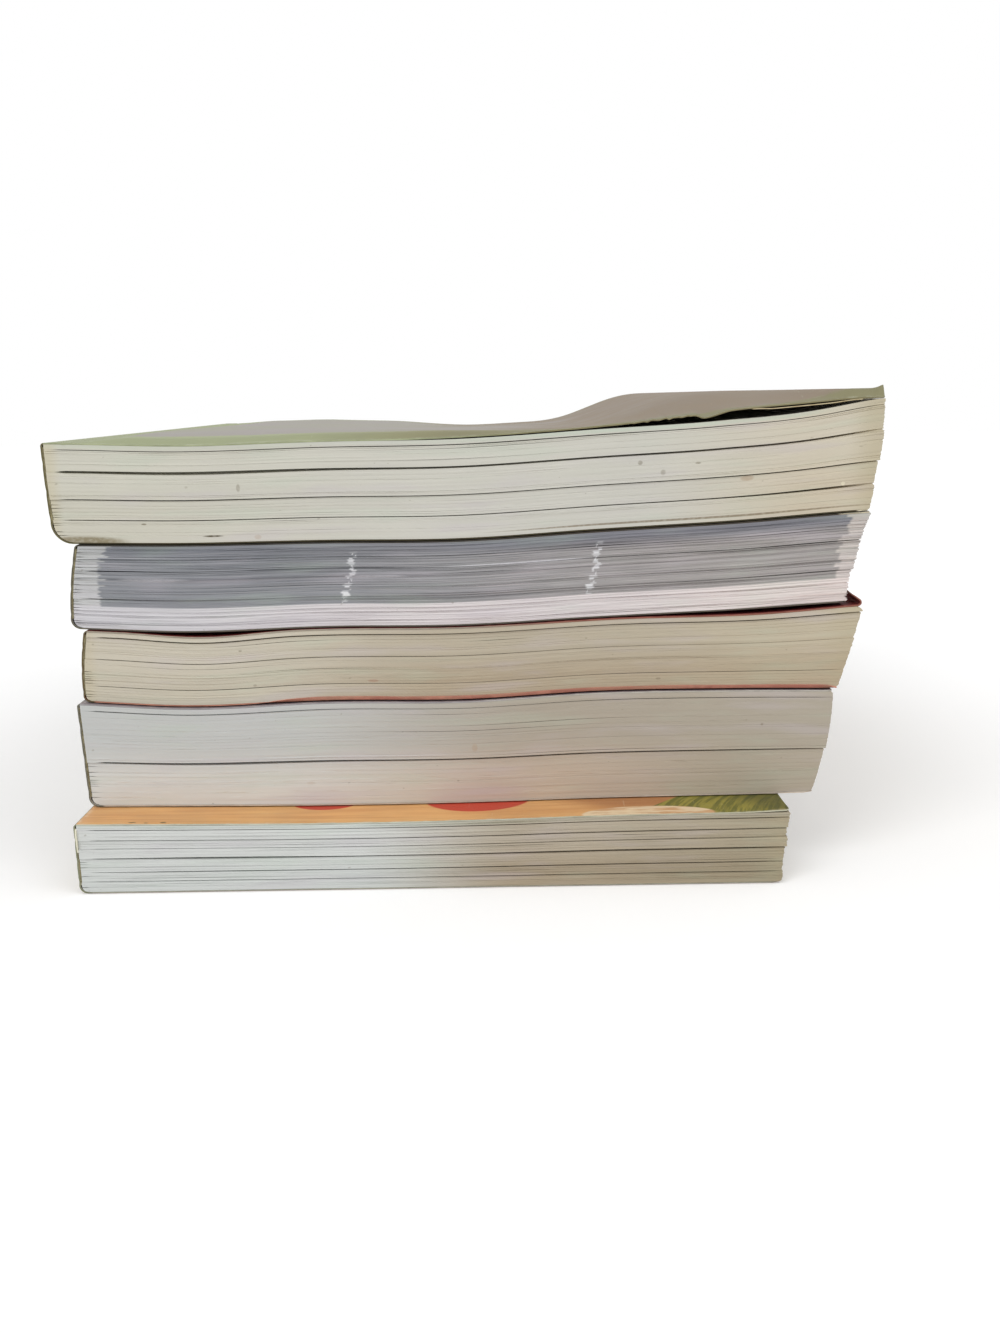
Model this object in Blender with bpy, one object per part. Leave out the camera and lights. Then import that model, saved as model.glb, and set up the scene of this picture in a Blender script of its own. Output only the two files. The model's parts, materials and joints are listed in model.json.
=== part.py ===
"""A stack of five used paperback textbooks that lie flat, front covers up.

The spines are at -X and the tail edges, the lower ends of the pages, are at -Y. Each book is a page block,
a film of glue on the block's spine and a folded card cover. The front cover of the top book opens about the
crease beside its spine. Lengths are in metres, and the stack stands on Z = 0.
"""

import math
from dataclasses import dataclass

import bmesh
import bpy
from mathutils import Vector

MM = 0.001

# Sizes that all the books share
CARD = 0.35 * MM
CLEARANCE = 0.3 * MM
GLUE_FILM = 0.5 * MM
GLUE_SHORT_OF_CARD = 0.8 * MM
SPLIT_DEPTH = 3.0 * MM
BUNDLE_SHIFT = 0.25 * MM
BUNDLE_TURN = 2.3

# Share of the swelling at the tail edge that is left at the head edge
SWELL_KEPT = 0.55

# The top book's front cover: the side-glued strip beside the spine, and the crease it opens about
GLUED_STRIP = 6.0 * MM
CREASE_ABOVE_CARD = 0.15 * MM

# How far the top cover has warped off the pages inside its tail edge, and how much of that the edge itself has
COVER_LIFT = 6.0 * MM
COVER_LIFT_AT_TAIL = 0.33
COVER_LIFT_REACH = 42.0 * MM
CORNER_CURL_RISE = 1.6 * MM
CORNER_CURL_REACH = 14.0 * MM

# The dent in the tail edge of the top cover, where the card is creased down
DENT_FROM_FORE = 46.5 * MM
DENT_DROP = 1.2 * MM
DENT_HALF_WIDTH = 7.0 * MM
DENT_REACH = 14.0 * MM

# The turned-up corner of the third book's front cover: a lip that folds back over the fore edge
LIP_LENGTH = 3.8 * MM
LIP_START_IN = 2.0 * MM
LIP_TURN = math.radians(145.0)
LIP_FOLD_SHARE = 0.6
LIP_REACH = 70.0 * MM
LIP_STEPS = 5

# For each book, bottom first: WIDTH and HEIGHT are those of a page, and THICKNESS is the book's at its spine.
# SWELL is the most that the block is thicker or thinner elsewhere. JUT is how far the tail edge stands out
# to -Y, and SPINE_IN how far the spine stands in from the spine plane of the stack. SPINE_CORNER is the
# radius of the fold at the foot of the spine. A LEAN is how far the top of a spine or fore edge stands
# towards +X of its foot, and a BOW the same for its middle.
BOOK_1_WIDTH = 182.0 * MM
BOOK_1_HEIGHT = 238.0 * MM
BOOK_1_THICKNESS = 18.4 * MM
BOOK_1_SWELL = 0.9 * MM
BOOK_1_JUT = 18.0 * MM
BOOK_1_SPINE_IN = 7.6 * MM
BOOK_1_SPINE_LEAN = -0.7 * MM
BOOK_1_SPINE_BOW = 0.0 * MM
BOOK_1_SPINE_CORNER = 2.0 * MM
BOOK_1_FORE_LEAN = 2.0 * MM
BOOK_1_FORE_BOW = 0.0 * MM

BOOK_2_WIDTH = 195.6 * MM
BOOK_2_HEIGHT = 254.0 * MM
BOOK_2_THICKNESS = 28.4 * MM
BOOK_2_SWELL = 1.6 * MM
BOOK_2_JUT = 1.4 * MM
BOOK_2_SPINE_IN = 6.5 * MM
BOOK_2_SPINE_LEAN = -1.9 * MM
BOOK_2_SPINE_BOW = 0.0 * MM
BOOK_2_SPINE_CORNER = 2.4 * MM
BOOK_2_FORE_LEAN = 4.8 * MM
BOOK_2_FORE_BOW = 1.0 * MM

BOOK_3_WIDTH = 201.5 * MM
BOOK_3_HEIGHT = 262.0 * MM
BOOK_3_THICKNESS = 19.2 * MM
BOOK_3_SWELL = 3.9 * MM
BOOK_3_JUT = 0.0 * MM
BOOK_3_SPINE_IN = 7.7 * MM
BOOK_3_SPINE_LEAN = 1.0 * MM
BOOK_3_SPINE_BOW = -0.6 * MM
BOOK_3_SPINE_CORNER = 1.6 * MM
BOOK_3_FORE_LEAN = 6.9 * MM
BOOK_3_FORE_BOW = 0.2 * MM

BOOK_4_WIDTH = 205.1 * MM
BOOK_4_HEIGHT = 267.0 * MM
BOOK_4_THICKNESS = 22.3 * MM
BOOK_4_SWELL = 1.4 * MM
BOOK_4_JUT = -0.8 * MM
BOOK_4_SPINE_IN = 5.9 * MM
BOOK_4_SPINE_LEAN = 2.2 * MM
BOOK_4_SPINE_BOW = -0.6 * MM
BOOK_4_SPINE_CORNER = 2.6 * MM
BOOK_4_FORE_LEAN = 5.7 * MM
BOOK_4_FORE_BOW = -0.9 * MM

BOOK_5_WIDTH = 214.2 * MM
BOOK_5_HEIGHT = 279.0 * MM
BOOK_5_THICKNESS = 26.3 * MM
BOOK_5_SWELL = 3.6 * MM
BOOK_5_JUT = 0.0 * MM
BOOK_5_SPINE_IN = 0.9 * MM
BOOK_5_SPINE_LEAN = -2.0 * MM
BOOK_5_SPINE_BOW = -0.2 * MM
BOOK_5_SPINE_CORNER = 5.0 * MM
BOOK_5_FORE_LEAN = 3.7 * MM
BOOK_5_FORE_BOW = 0.6 * MM

# How wide the gaps between bundles of leaves gape at the trimmed edges
NARROW_SPLIT = 0.3 * MM
SPLIT = 0.4 * MM
WIDE_SPLIT = 0.6 * MM

# Facets
COLUMNS = 14
BLOCK_ROWS = 4
COVER_ROWS = 4
TOP_COVER_COLUMNS = 15
TOP_COVER_COLUMNS_BY_FORE = 4
TOP_COVER_ROWS = 4
SPINE_STEPS = 3
CORNER_STEPS = 3


@dataclass
class Book:
    """One book: its sizes as above, and the shares and colours that go with them.

    wave gives the swell of the tail edge as shares of SWELL, at six even places from the spine to the fore
    edge, and head_wave the same for the head edge where it differs in form. splits are the gaps between
    bundles of leaves: their place up the block, from 0 to 1, and how wide they gape.
    """
    name: str
    width: float
    height: float
    thickness: float
    swell: float
    jut: float
    spine_in: float
    spine_lean: float
    spine_bow: float
    spine_corner: float
    fore_lean: float
    fore_bow: float
    wave: tuple
    splits: tuple
    page_colour: tuple
    cover_colour: tuple
    head_wave: tuple = None
    turned_up_corner: bool = False

    @property
    def tail_y(self):
        """y of the tail edge, from the tail plane of the stack."""
        return -self.jut

    @property
    def spine_x(self):
        """x of the spine's outer face at half its height, from the spine plane of the stack."""
        return self.spine_in


BOOKS = (
    Book("book_1", BOOK_1_WIDTH, BOOK_1_HEIGHT, BOOK_1_THICKNESS, BOOK_1_SWELL, BOOK_1_JUT, BOOK_1_SPINE_IN,
         BOOK_1_SPINE_LEAN, BOOK_1_SPINE_BOW, BOOK_1_SPINE_CORNER, BOOK_1_FORE_LEAN, BOOK_1_FORE_BOW,
         wave=(-0.44, -0.78, -0.56, 0.22, 0.56, 1.0),
         splits=((0.15, NARROW_SPLIT), (0.29, NARROW_SPLIT), (0.50, WIDE_SPLIT), (0.77, NARROW_SPLIT)),
         page_colour=(188, 181, 167), cover_colour=(208, 156, 107)),
    Book("book_2", BOOK_2_WIDTH, BOOK_2_HEIGHT, BOOK_2_THICKNESS, BOOK_2_SWELL, BOOK_2_JUT, BOOK_2_SPINE_IN,
         BOOK_2_SPINE_LEAN, BOOK_2_SPINE_BOW, BOOK_2_SPINE_CORNER, BOOK_2_FORE_LEAN, BOOK_2_FORE_BOW,
         wave=(-1.0, -0.13, -0.44, 0.19, 0.06, -0.5),
         splits=((0.43, WIDE_SPLIT), (0.88, NARROW_SPLIT)),
         page_colour=(183, 178, 168), cover_colour=(182, 160, 150)),
    Book("book_3", BOOK_3_WIDTH, BOOK_3_HEIGHT, BOOK_3_THICKNESS, BOOK_3_SWELL, BOOK_3_JUT, BOOK_3_SPINE_IN,
         BOOK_3_SPINE_LEAN, BOOK_3_SPINE_BOW, BOOK_3_SPINE_CORNER, BOOK_3_FORE_LEAN, BOOK_3_FORE_BOW,
         wave=(0.10, 0.03, 0.08, 0.05, 0.38, 1.0),
         splits=((0.22, SPLIT), (0.61, NARROW_SPLIT), (0.93, NARROW_SPLIT)),
         page_colour=(190, 181, 162), cover_colour=(116, 52, 54), turned_up_corner=True),
    Book("book_4", BOOK_4_WIDTH, BOOK_4_HEIGHT, BOOK_4_THICKNESS, BOOK_4_SWELL, BOOK_4_JUT, BOOK_4_SPINE_IN,
         BOOK_4_SPINE_LEAN, BOOK_4_SPINE_BOW, BOOK_4_SPINE_CORNER, BOOK_4_FORE_LEAN, BOOK_4_FORE_BOW,
         wave=(0.71, 0.29, 0.29, 0.5, 0.71, 1.0),
         splits=((0.36, NARROW_SPLIT), (0.70, NARROW_SPLIT)),
         page_colour=(150, 149, 152), cover_colour=(118, 112, 108)),
    Book("book_5", BOOK_5_WIDTH, BOOK_5_HEIGHT, BOOK_5_THICKNESS, BOOK_5_SWELL, BOOK_5_JUT, BOOK_5_SPINE_IN,
         BOOK_5_SPINE_LEAN, BOOK_5_SPINE_BOW, BOOK_5_SPINE_CORNER, BOOK_5_FORE_LEAN, BOOK_5_FORE_BOW,
         wave=(-0.14, -0.03, 0.06, 0.06, 0.17, 0.92), head_wave=(0.11, 0.06, -0.5, -0.33, 0.44, 1.0),
         splits=((0.23, SPLIT), (0.44, SPLIT), (0.72, WIDE_SPLIT), (0.93, NARROW_SPLIT)),
         page_colour=(200, 196, 182), cover_colour=(132, 138, 96)),
)
TOP = BOOKS[-1]

# The swell of every book is stated over the width and height of the top book, which is the largest
SWELL_WIDTH = TOP.spine_x + TOP.width
SWELL_HEIGHT = TOP.height

# Where the top cover has lifted, as shares of COVER_LIFT at seven even places from the spine to the fore edge
COVER_LIFT_WAVE = (0.0, 0.0, 0.0, 0.0, 0.23, 1.0, 0.32)

GLUE_COLOUR = (222, 210, 176)
PAGE_ROUGHNESS = 0.85
COVER_ROUGHNESS = 0.45
GLUE_ROUGHNESS = 0.5


def linear_colour(colour):
    """A colour from 0 to 255 as a display shows it, as the linear values that a shader takes."""
    shares = [channel / 255.0 for channel in colour]
    return [share / 12.92 if share <= 0.04045 else ((share + 0.055) / 1.055) ** 2.4 for share in shares]


def make_material(name, colour, roughness):
    """A Principled material of one colour, with no metal in it."""
    material = bpy.data.materials.new(name)
    material.use_nodes = True
    shader = material.node_tree.nodes["Principled BSDF"]
    shader.inputs["Base Color"].default_value = (*linear_colour(colour), 1.0)
    shader.inputs["Roughness"].default_value = roughness
    shader.inputs["Metallic"].default_value = 0.0
    return material


def add_object(name, mesh, colour, roughness, origin=Vector((0.0, 0.0, 0.0))):
    """Put a mesh in the scene as one named piece with a material of its own."""
    mesh.materials.append(make_material(name, colour, roughness))
    piece = bpy.data.objects.new(name, mesh)
    piece.location = origin
    bpy.context.scene.collection.objects.link(piece)
    return piece


def smooth_step(share):
    """Ease from 0 to 1, with both ends level."""
    share = min(max(share, 0.0), 1.0)
    return share * share * (3.0 - 2.0 * share)


def curve_through(values, share):
    """A smooth curve through values at even places, read at a share of the way along them."""
    last = len(values) - 1
    position = min(max(share, 0.0), 1.0) * last
    index = min(int(position), last - 1)
    t = position - index
    start, end = values[index], values[index + 1]
    slope_in = (end - values[max(index - 1, 0)]) / 2.0
    slope_out = (values[min(index + 2, last)] - start) / 2.0
    return (start + slope_in * t
            + (3.0 * (end - start) - 2.0 * slope_in - slope_out) * t ** 2
            + (slope_in + slope_out - 2.0 * (end - start)) * t ** 3)


def swell_of(book, x, y):
    """How much thicker a book is at x, y than at its spine."""
    across = x / SWELL_WIDTH
    inward = min(max(y / SWELL_HEIGHT, 0.0), 1.0)
    at_tail = curve_through((0.0, *book.wave), across)
    if book.head_wave is None:
        at_head = at_tail * SWELL_KEPT
    else:
        at_head = curve_through((0.0, *book.head_wave), across)
    return book.swell * (at_tail + (at_head - at_tail) * inward)


def level_height(level, x, y):
    """Height of the face between a book and the next one up: level 1 is on the first book, 0 is the table."""
    return sum(book.thickness + swell_of(book, x, y) for book in BOOKS[:level])


def cover_bottom(book, x, y):
    """Height of the outer face of a book's back cover."""
    level = BOOKS.index(book)
    return level_height(level, x, y) + (CLEARANCE if level else 0.0)


def cover_top(book, x, y):
    """Height of the outer face of a book's front cover where it lies on the pages."""
    return level_height(BOOKS.index(book) + 1, x, y)


def leaning_line(lean, bow, share):
    """How far a leaning and bowed edge stands off its middle, at a share of its height."""
    return lean * (share - 0.5) + bow * 4.0 * share * (1.0 - share)


def spine_line(book, share):
    """x of the spine's outer face at a share of the thickness, without the round fold at its foot."""
    return book.spine_x + leaning_line(book.spine_lean, book.spine_bow, share)


def fore_line(book, share):
    """x of the trimmed fore edge at a share of the thickness."""
    return book.spine_x + book.width + leaning_line(book.fore_lean, book.fore_bow, share)


def set_in_by_corner(radius, height):
    """How far a round corner stands in at a height above the face that it runs into."""
    if height >= radius:
        return 0.0
    return radius - math.sqrt(radius ** 2 - (radius - height) ** 2)


def even_places(start, end, steps):
    """Places from start to end, both included."""
    return [start + (end - start) * step / steps for step in range(steps + 1)]


# Page blocks

# From a cover's outer face to the pages: at the spine there is the glue as well
PAGES_BELOW_CARD = CARD + CLEARANCE
PAGES_FROM_SPINE = CARD + CLEARANCE + GLUE_FILM + CLEARANCE


def block_point(book, across, along, share, inset, shift):
    """A point of the page block, from its shares of the way across, along and up the block.

    An inset pulls the three trimmed edges in, and a shift moves a bundle out at the tail and the fore edge.
    """
    spine = spine_line(book, share) + PAGES_FROM_SPINE
    radius = max(book.spine_corner - PAGES_BELOW_CARD, 0.0)
    spine += set_in_by_corner(radius, share * book.thickness)
    fore = fore_line(book, share) - inset + shift
    tail = book.tail_y + inset - shift
    head = book.tail_y + book.height - inset - shift
    x = spine + (fore - spine) * across
    y = tail + (head - tail) * along
    low = cover_bottom(book, x, y) + PAGES_BELOW_CARD
    high = cover_top(book, x, y) - PAGES_BELOW_CARD
    return Vector((x, y, low + (high - low) * share))


def block_levels(book):
    """The outlines that make up a block, bottom to top: share of its height, inset and shift."""
    radius = max(book.spine_corner - PAGES_BELOW_CARD, 0.0)
    corner = [radius * (1.0 - math.cos(angle)) / book.thickness
              for angle in even_places(0.0, math.pi / 2.0, CORNER_STEPS)]
    shifts = [BUNDLE_SHIFT * math.sin(BUNDLE_TURN * (bundle + len(book.splits)))
              for bundle in range(len(book.splits) + 1)]
    levels = [(share, 0.0, shifts[0]) for share in corner]
    for bundle, (share, opening) in enumerate(book.splits):
        half = 0.5 * opening / book.thickness
        levels.append((share - half, 0.0, shifts[bundle]))
        levels.append((share, SPLIT_DEPTH, 0.0))
        levels.append((share + half, 0.0, shifts[bundle + 1]))
    levels.append((1.0, 0.0, shifts[-1]))
    return levels


def add_page_block(book):
    """The leaves of one book as a solid, with a groove where two bundles of them gape."""
    around = [(column / COLUMNS, 0.0) for column in range(COLUMNS)]
    around += [(1.0, row / BLOCK_ROWS) for row in range(BLOCK_ROWS)]
    around += [(column / COLUMNS, 1.0) for column in range(COLUMNS, 0, -1)]
    around += [(0.0, row / BLOCK_ROWS) for row in range(BLOCK_ROWS, 0, -1)]
    bm = bmesh.new()
    levels = block_levels(book)
    rings = [[bm.verts.new(block_point(book, across, along, *level)) for across, along in around]
             for level in levels]
    for lower, upper in zip(rings, rings[1:]):
        for corner in range(len(around)):
            following = (corner + 1) % len(around)
            bm.faces.new((lower[corner], lower[following], upper[following], upper[corner]))
    for ring, level, upwards in ((rings[0], levels[0], False), (rings[-1], levels[-1], True)):
        placed = {place: vertex for place, vertex in zip(around, ring)}
        for column in range(1, COLUMNS):
            for row in range(1, BLOCK_ROWS):
                place = (column / COLUMNS, row / BLOCK_ROWS)
                placed[place] = bm.verts.new(block_point(book, *place, *level))
        for column in range(COLUMNS):
            for row in range(BLOCK_ROWS):
                left, right = column / COLUMNS, (column + 1) / COLUMNS
                near, far = row / BLOCK_ROWS, (row + 1) / BLOCK_ROWS
                corners = [placed[left, near], placed[right, near], placed[right, far], placed[left, far]]
                bm.faces.new(corners if upwards else corners[::-1])
    mesh = bpy.data.meshes.new(book.name + "_page_block")
    bm.to_mesh(mesh)
    bm.free()
    return add_object(mesh.name, mesh, book.page_colour, PAGE_ROUGHNESS)


# Sheets: covers and glue films

def add_sheet(name, rows, thickness, colour, roughness, origin=Vector((0.0, 0.0, 0.0))):
    """A sheet through rows of points of its outer face, tail to head, thickened inwards."""
    bm = bmesh.new()
    grid = [[bm.verts.new(point - origin) for point in row] for row in rows]
    for near, far in zip(grid, grid[1:]):
        for place in range(len(near) - 1):
            bm.faces.new((near[place], far[place], far[place + 1], near[place + 1]))
    mesh = bpy.data.meshes.new(name)
    bm.to_mesh(mesh)
    bm.free()
    piece = add_object(name, mesh, colour, roughness, origin)
    card = piece.modifiers.new("card", "SOLIDIFY")
    card.thickness = thickness
    card.offset = -1.0
    card.use_even_offset = True
    return piece


def front_outline(book, y, start):
    """Outer face of the front cover at y, from start, which is an x by its fore edge, to the spine."""
    return [Vector((x, y, cover_top(book, x, y)))
            for x in even_places(start, spine_line(book, 1.0), COLUMNS)]


def spine_outline(book, y):
    """Outer face of the spine at y, from the front cover's fold down round to the back cover."""
    x = book.spine_x
    low = cover_bottom(book, x, y)
    high = cover_top(book, x, y)
    foot = book.spine_corner / (high - low)
    points = [Vector((spine_line(book, share), y, low + (high - low) * share))
              for share in even_places(1.0, foot, SPINE_STEPS)[1:]]
    for angle in even_places(0.0, math.pi / 2.0, CORNER_STEPS)[1:]:
        rise = book.spine_corner * (1.0 - math.sin(angle))
        share = rise / (high - low)
        x = spine_line(book, share) + set_in_by_corner(book.spine_corner, rise)
        points.append(Vector((x, y, cover_bottom(book, x, y) + rise)))
    return points


def back_outline(book, y):
    """Outer face of the back cover at y, from the spine's round fold to the fore edge."""
    start = spine_line(book, 0.0) + book.spine_corner
    return [Vector((x, y, cover_bottom(book, x, y)))
            for x in even_places(start, fore_line(book, 0.0), COLUMNS)[1:]]


def turned_up_lip(book, y, start):
    """Outer face of the lip beyond start, from its tip inwards: folded back at the tail corner, flat past it."""
    turn = LIP_TURN * (1.0 - smooth_step((y - book.tail_y) / LIP_REACH))
    point = Vector((start, y, cover_top(book, start, y)))
    points = []
    for step in range(LIP_STEPS):
        direction = turn * smooth_step((step + 0.5) / LIP_STEPS / LIP_FOLD_SHARE)
        point = point + Vector((math.cos(direction), 0.0, math.sin(direction))) * LIP_LENGTH / LIP_STEPS
        points.append(point)
    return points[::-1]


def add_cover(book):
    """The folded card of a closed cover: front, spine and back in one piece."""
    rows = []
    for y in even_places(book.tail_y, book.tail_y + book.height, COVER_ROWS):
        if book.turned_up_corner:
            start = fore_line(book, 1.0) - LIP_START_IN
            front = turned_up_lip(book, y, start) + front_outline(book, y, start)
        else:
            front = front_outline(book, y, fore_line(book, 1.0))
        rows.append(front + spine_outline(book, y) + back_outline(book, y))
    return add_sheet(book.name + "_cover", rows, CARD, book.cover_colour, COVER_ROUGHNESS)


def add_glue_film(book):
    """The film of glue between the block's spine and the cover's."""
    rows = []
    tail = book.tail_y + GLUE_SHORT_OF_CARD
    head = book.tail_y + book.height - GLUE_SHORT_OF_CARD
    for y in even_places(tail, head, COVER_ROWS):
        low = cover_bottom(book, book.spine_x, y)
        high = cover_top(book, book.spine_x, y)
        top = 1.0 - (PAGES_BELOW_CARD + GLUE_SHORT_OF_CARD) / (high - low)
        foot = book.spine_corner / (high - low)
        rows.append([Vector((spine_line(book, share) + CARD + CLEARANCE, y, low + (high - low) * share))
                     for share in even_places(top, foot, SPINE_STEPS)])
    return add_sheet(book.name + "_spine_glue", rows, GLUE_FILM, GLUE_COLOUR, GLUE_ROUGHNESS)


# The top book's cover, which opens

CREASE_X = spine_line(TOP, 1.0) + GLUED_STRIP
CREASE_Z = cover_top(TOP, CREASE_X, TOP.tail_y) + CREASE_ABOVE_CARD
DENT_X = fore_line(TOP, 1.0) - DENT_FROM_FORE


def add_top_cover_wrap():
    """Back cover, spine and the strip that is glued beside the spine, up to the crease."""
    rows = []
    for y in even_places(TOP.tail_y, TOP.tail_y + TOP.height, COVER_ROWS):
        edge = CREASE_X - CLEARANCE / 2.0
        strip = [Vector((x, y, cover_top(TOP, x, y))) for x in even_places(edge, spine_line(TOP, 1.0), 2)]
        rows.append(strip + spine_outline(TOP, y) + back_outline(TOP, y))
    return add_sheet(TOP.name + "_back_cover_and_spine", rows, CARD, TOP.cover_colour, COVER_ROUGHNESS)


def top_cover_lift(x, y):
    """How far the warped front cover stands off the pages: least at the tail edge, and curled at its corner."""
    inward = smooth_step((y - TOP.tail_y) / COVER_LIFT_REACH)
    kept = COVER_LIFT_AT_TAIL + (1.0 - COVER_LIFT_AT_TAIL) * inward
    lift = COVER_LIFT * curve_through(COVER_LIFT_WAVE, x / SWELL_WIDTH) * kept
    from_corner = math.hypot(fore_line(TOP, 1.0) - x, y - TOP.tail_y)
    curl = CORNER_CURL_RISE * (1.0 - smooth_step(from_corner / CORNER_CURL_REACH))
    from_dent = math.hypot((x - DENT_X) / DENT_HALF_WIDTH, (y - TOP.tail_y) / DENT_REACH)
    dent = DENT_DROP * (1.0 - smooth_step(from_dent))
    return lift + curl - dent


def add_top_front_cover():
    """The warped front cover, from the crease to the fore edge, with its origin on the crease."""
    start = CREASE_X + CLEARANCE / 2.0
    fore = fore_line(TOP, 1.0)
    lifted = TOP.tail_y + COVER_LIFT_REACH
    by_corner = CORNER_CURL_REACH / 2.0
    across = [fore] + even_places(fore - by_corner, DENT_X + DENT_HALF_WIDTH, TOP_COVER_COLUMNS_BY_FORE)
    across += [DENT_X] + even_places(DENT_X - DENT_HALF_WIDTH, start, TOP_COVER_COLUMNS)
    along = [TOP.tail_y, TOP.tail_y + by_corner] + even_places(TOP.tail_y + CORNER_CURL_REACH, lifted, 2)
    along += even_places(lifted, TOP.tail_y + TOP.height, TOP_COVER_ROWS)[1:]
    rows = [[Vector((x, y, cover_top(TOP, x, y) + top_cover_lift(x, y))) for x in across] for y in along]
    crease = Vector((CREASE_X, TOP.tail_y + TOP.height / 2.0, CREASE_Z))
    return add_sheet(TOP.name + "_front_cover", rows, CARD, TOP.cover_colour, COVER_ROUGHNESS, crease)


def centre_on_origin(pieces):
    """Hang every piece on an empty that puts the middle of the stack's footprint over the origin."""
    bpy.context.view_layer.update()
    graph = bpy.context.evaluated_depsgraph_get()
    corners = [piece.matrix_world @ Vector(corner)
               for piece in pieces for corner in piece.evaluated_get(graph).bound_box]
    middle_x = (min(corner.x for corner in corners) + max(corner.x for corner in corners)) / 2.0
    middle_y = (min(corner.y for corner in corners) + max(corner.y for corner in corners)) / 2.0
    frame = bpy.data.objects.new("stack_frame", None)
    frame.location = (-middle_x, -middle_y, 0.0)
    bpy.context.scene.collection.objects.link(frame)
    for piece in pieces:
        piece.parent = frame


def main():
    """Clear the scene and build the stack, bottom book first."""
    for old in list(bpy.data.objects):
        bpy.data.objects.remove(old, do_unlink=True)
    pieces = []
    for book in BOOKS:
        pieces.append(add_page_block(book))
        pieces.append(add_glue_film(book))
        if book is TOP:
            pieces.append(add_top_cover_wrap())
            pieces.append(add_top_front_cover())
        else:
            pieces.append(add_cover(book))
    centre_on_origin(pieces)


main()
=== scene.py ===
"""The looks of a stack of five used paperback textbooks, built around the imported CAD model.

The spines are at -X and the tail edges, the lower ends of the pages, are at -Y. Lengths are in metres. Every
piece repeats the form of the CAD node that it stands for and adds what the solids leave out: the leaves, the
gaps between them, wear and print. Until a piece is placed in the frame, x runs from the spine plane of the
stack and y from its tail plane.
"""
import json
import math
from dataclasses import dataclass

import bpy
import numpy as np
from mathutils import Euler, Matrix, Vector


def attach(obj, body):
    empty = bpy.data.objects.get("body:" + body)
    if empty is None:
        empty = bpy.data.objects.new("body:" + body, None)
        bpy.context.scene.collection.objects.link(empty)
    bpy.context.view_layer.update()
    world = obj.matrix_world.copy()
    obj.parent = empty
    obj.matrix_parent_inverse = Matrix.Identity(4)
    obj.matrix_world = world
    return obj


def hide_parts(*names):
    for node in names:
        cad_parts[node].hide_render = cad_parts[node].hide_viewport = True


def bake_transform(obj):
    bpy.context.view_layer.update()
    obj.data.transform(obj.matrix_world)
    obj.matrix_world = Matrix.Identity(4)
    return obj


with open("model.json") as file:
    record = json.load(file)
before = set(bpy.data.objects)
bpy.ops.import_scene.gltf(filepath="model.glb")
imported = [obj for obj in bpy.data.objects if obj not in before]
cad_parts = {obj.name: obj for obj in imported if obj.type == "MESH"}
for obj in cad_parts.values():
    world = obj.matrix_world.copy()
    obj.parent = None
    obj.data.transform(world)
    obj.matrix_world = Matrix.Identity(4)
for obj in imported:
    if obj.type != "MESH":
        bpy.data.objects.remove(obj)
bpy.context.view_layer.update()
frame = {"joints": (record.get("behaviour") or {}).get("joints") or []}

MM = 0.001

# Sizes that all the books share, as in the CAD
CARD = 0.35 * MM
CLEARANCE = 0.3 * MM
GLUE_FILM = 0.4 * MM
SPLIT_DEPTH = 3.0 * MM
BUNDLE_SHIFT = 0.25 * MM
BUNDLE_TURN = 2.3
SWELL_KEPT = 0.55
FOLD_RADIUS = 0.9 * MM
HAIR = 0.03 * MM

# The top book's cover: its glued strip, and how it has warped off the pages
GLUED_STRIP = 6.0 * MM
CREASE_ABOVE_CARD = 0.15 * MM
CREASE_BEND = 2.5 * MM
COVER_LIFT = 6.0 * MM
COVER_LIFT_REACH = 42.0 * MM
CORNER_LIFT_START = 185.0 * MM
CORNER_LIFT_EASE = 25.0 * MM
REACH_AT_CORNER = 4.5 * MM
COVER_LIFT_WAVE = (0.0, 0.0, 0.0, 0.0, 0.23, 1.0, 0.32)
DENT_FROM_FORE = 46.5 * MM
DENT_DROP = 1.0 * MM
DENT_STEEP_SIDE = 2.6 * MM
DENT_SLACK_SIDE = 7.5 * MM
DENT_REACH = 14.0 * MM

# The tail edge of that cover as the photograph shows it: the gap over the pages at even places from its
# start to the fore corner in millimetres, the frayed stretch, the tip, and the rim that droops by the spine
TAIL_GAP_START = 86.5 * MM
TAIL_GAPS = (0.0, 0.15, 0.3, 0.3, 0.3, 0.4, 0.8, 1.5, 2.0, 2.4, 2.2, 1.4, 0.0)
FRAY_MIDDLE = 160.0 * MM
FRAY_REACH = 12.0 * MM
FRAY = 0.16 * MM
TIP_RISE = 1.3 * MM
TIP_REACH = 2.9 * MM
TIP_FROM_TAIL = 2.9 * MM
RIM_RISE = 1.5 * MM
RIM_REACH = 6.0 * MM
PUFF_RISE = 0.6 * MM
PUFF_REACH = 26.0 * MM

# Where its ridge is steeper and where it sags again: middle, half width and height in millimetres
RIDGES = ((168.0, 15.0, 1.5), (139.0, 12.0, -0.8), (43.0, 13.0, 0.5))

# The turned-up corner of the third book's front cover
LIP_LENGTH = 3.8 * MM
LIP_START_IN = 2.0 * MM
LIP_TURN = math.radians(145.0)
LIP_FOLD_SHARE = 0.6
LIP_REACH = 70.0 * MM
LIP_STEPS = 14

# The worn tail rim of the third book's back cover, turned up in front of the pages: distance from the edge
# along the flat card, then place outside the tail plane and rise, in millimetres
TURNED_RIM = ((0.0, -0.6, 1.05), (0.35, -0.58, 0.6), (0.8, -0.5, 0.2), (1.4, -0.1, 0.02), (2.2, 1.2, 0.0),
              (3.2, 3.2, 0.0))
TURNED_RIM_START = 50.0 * MM
TURNED_RIM_EASE = 16.0 * MM

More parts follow.
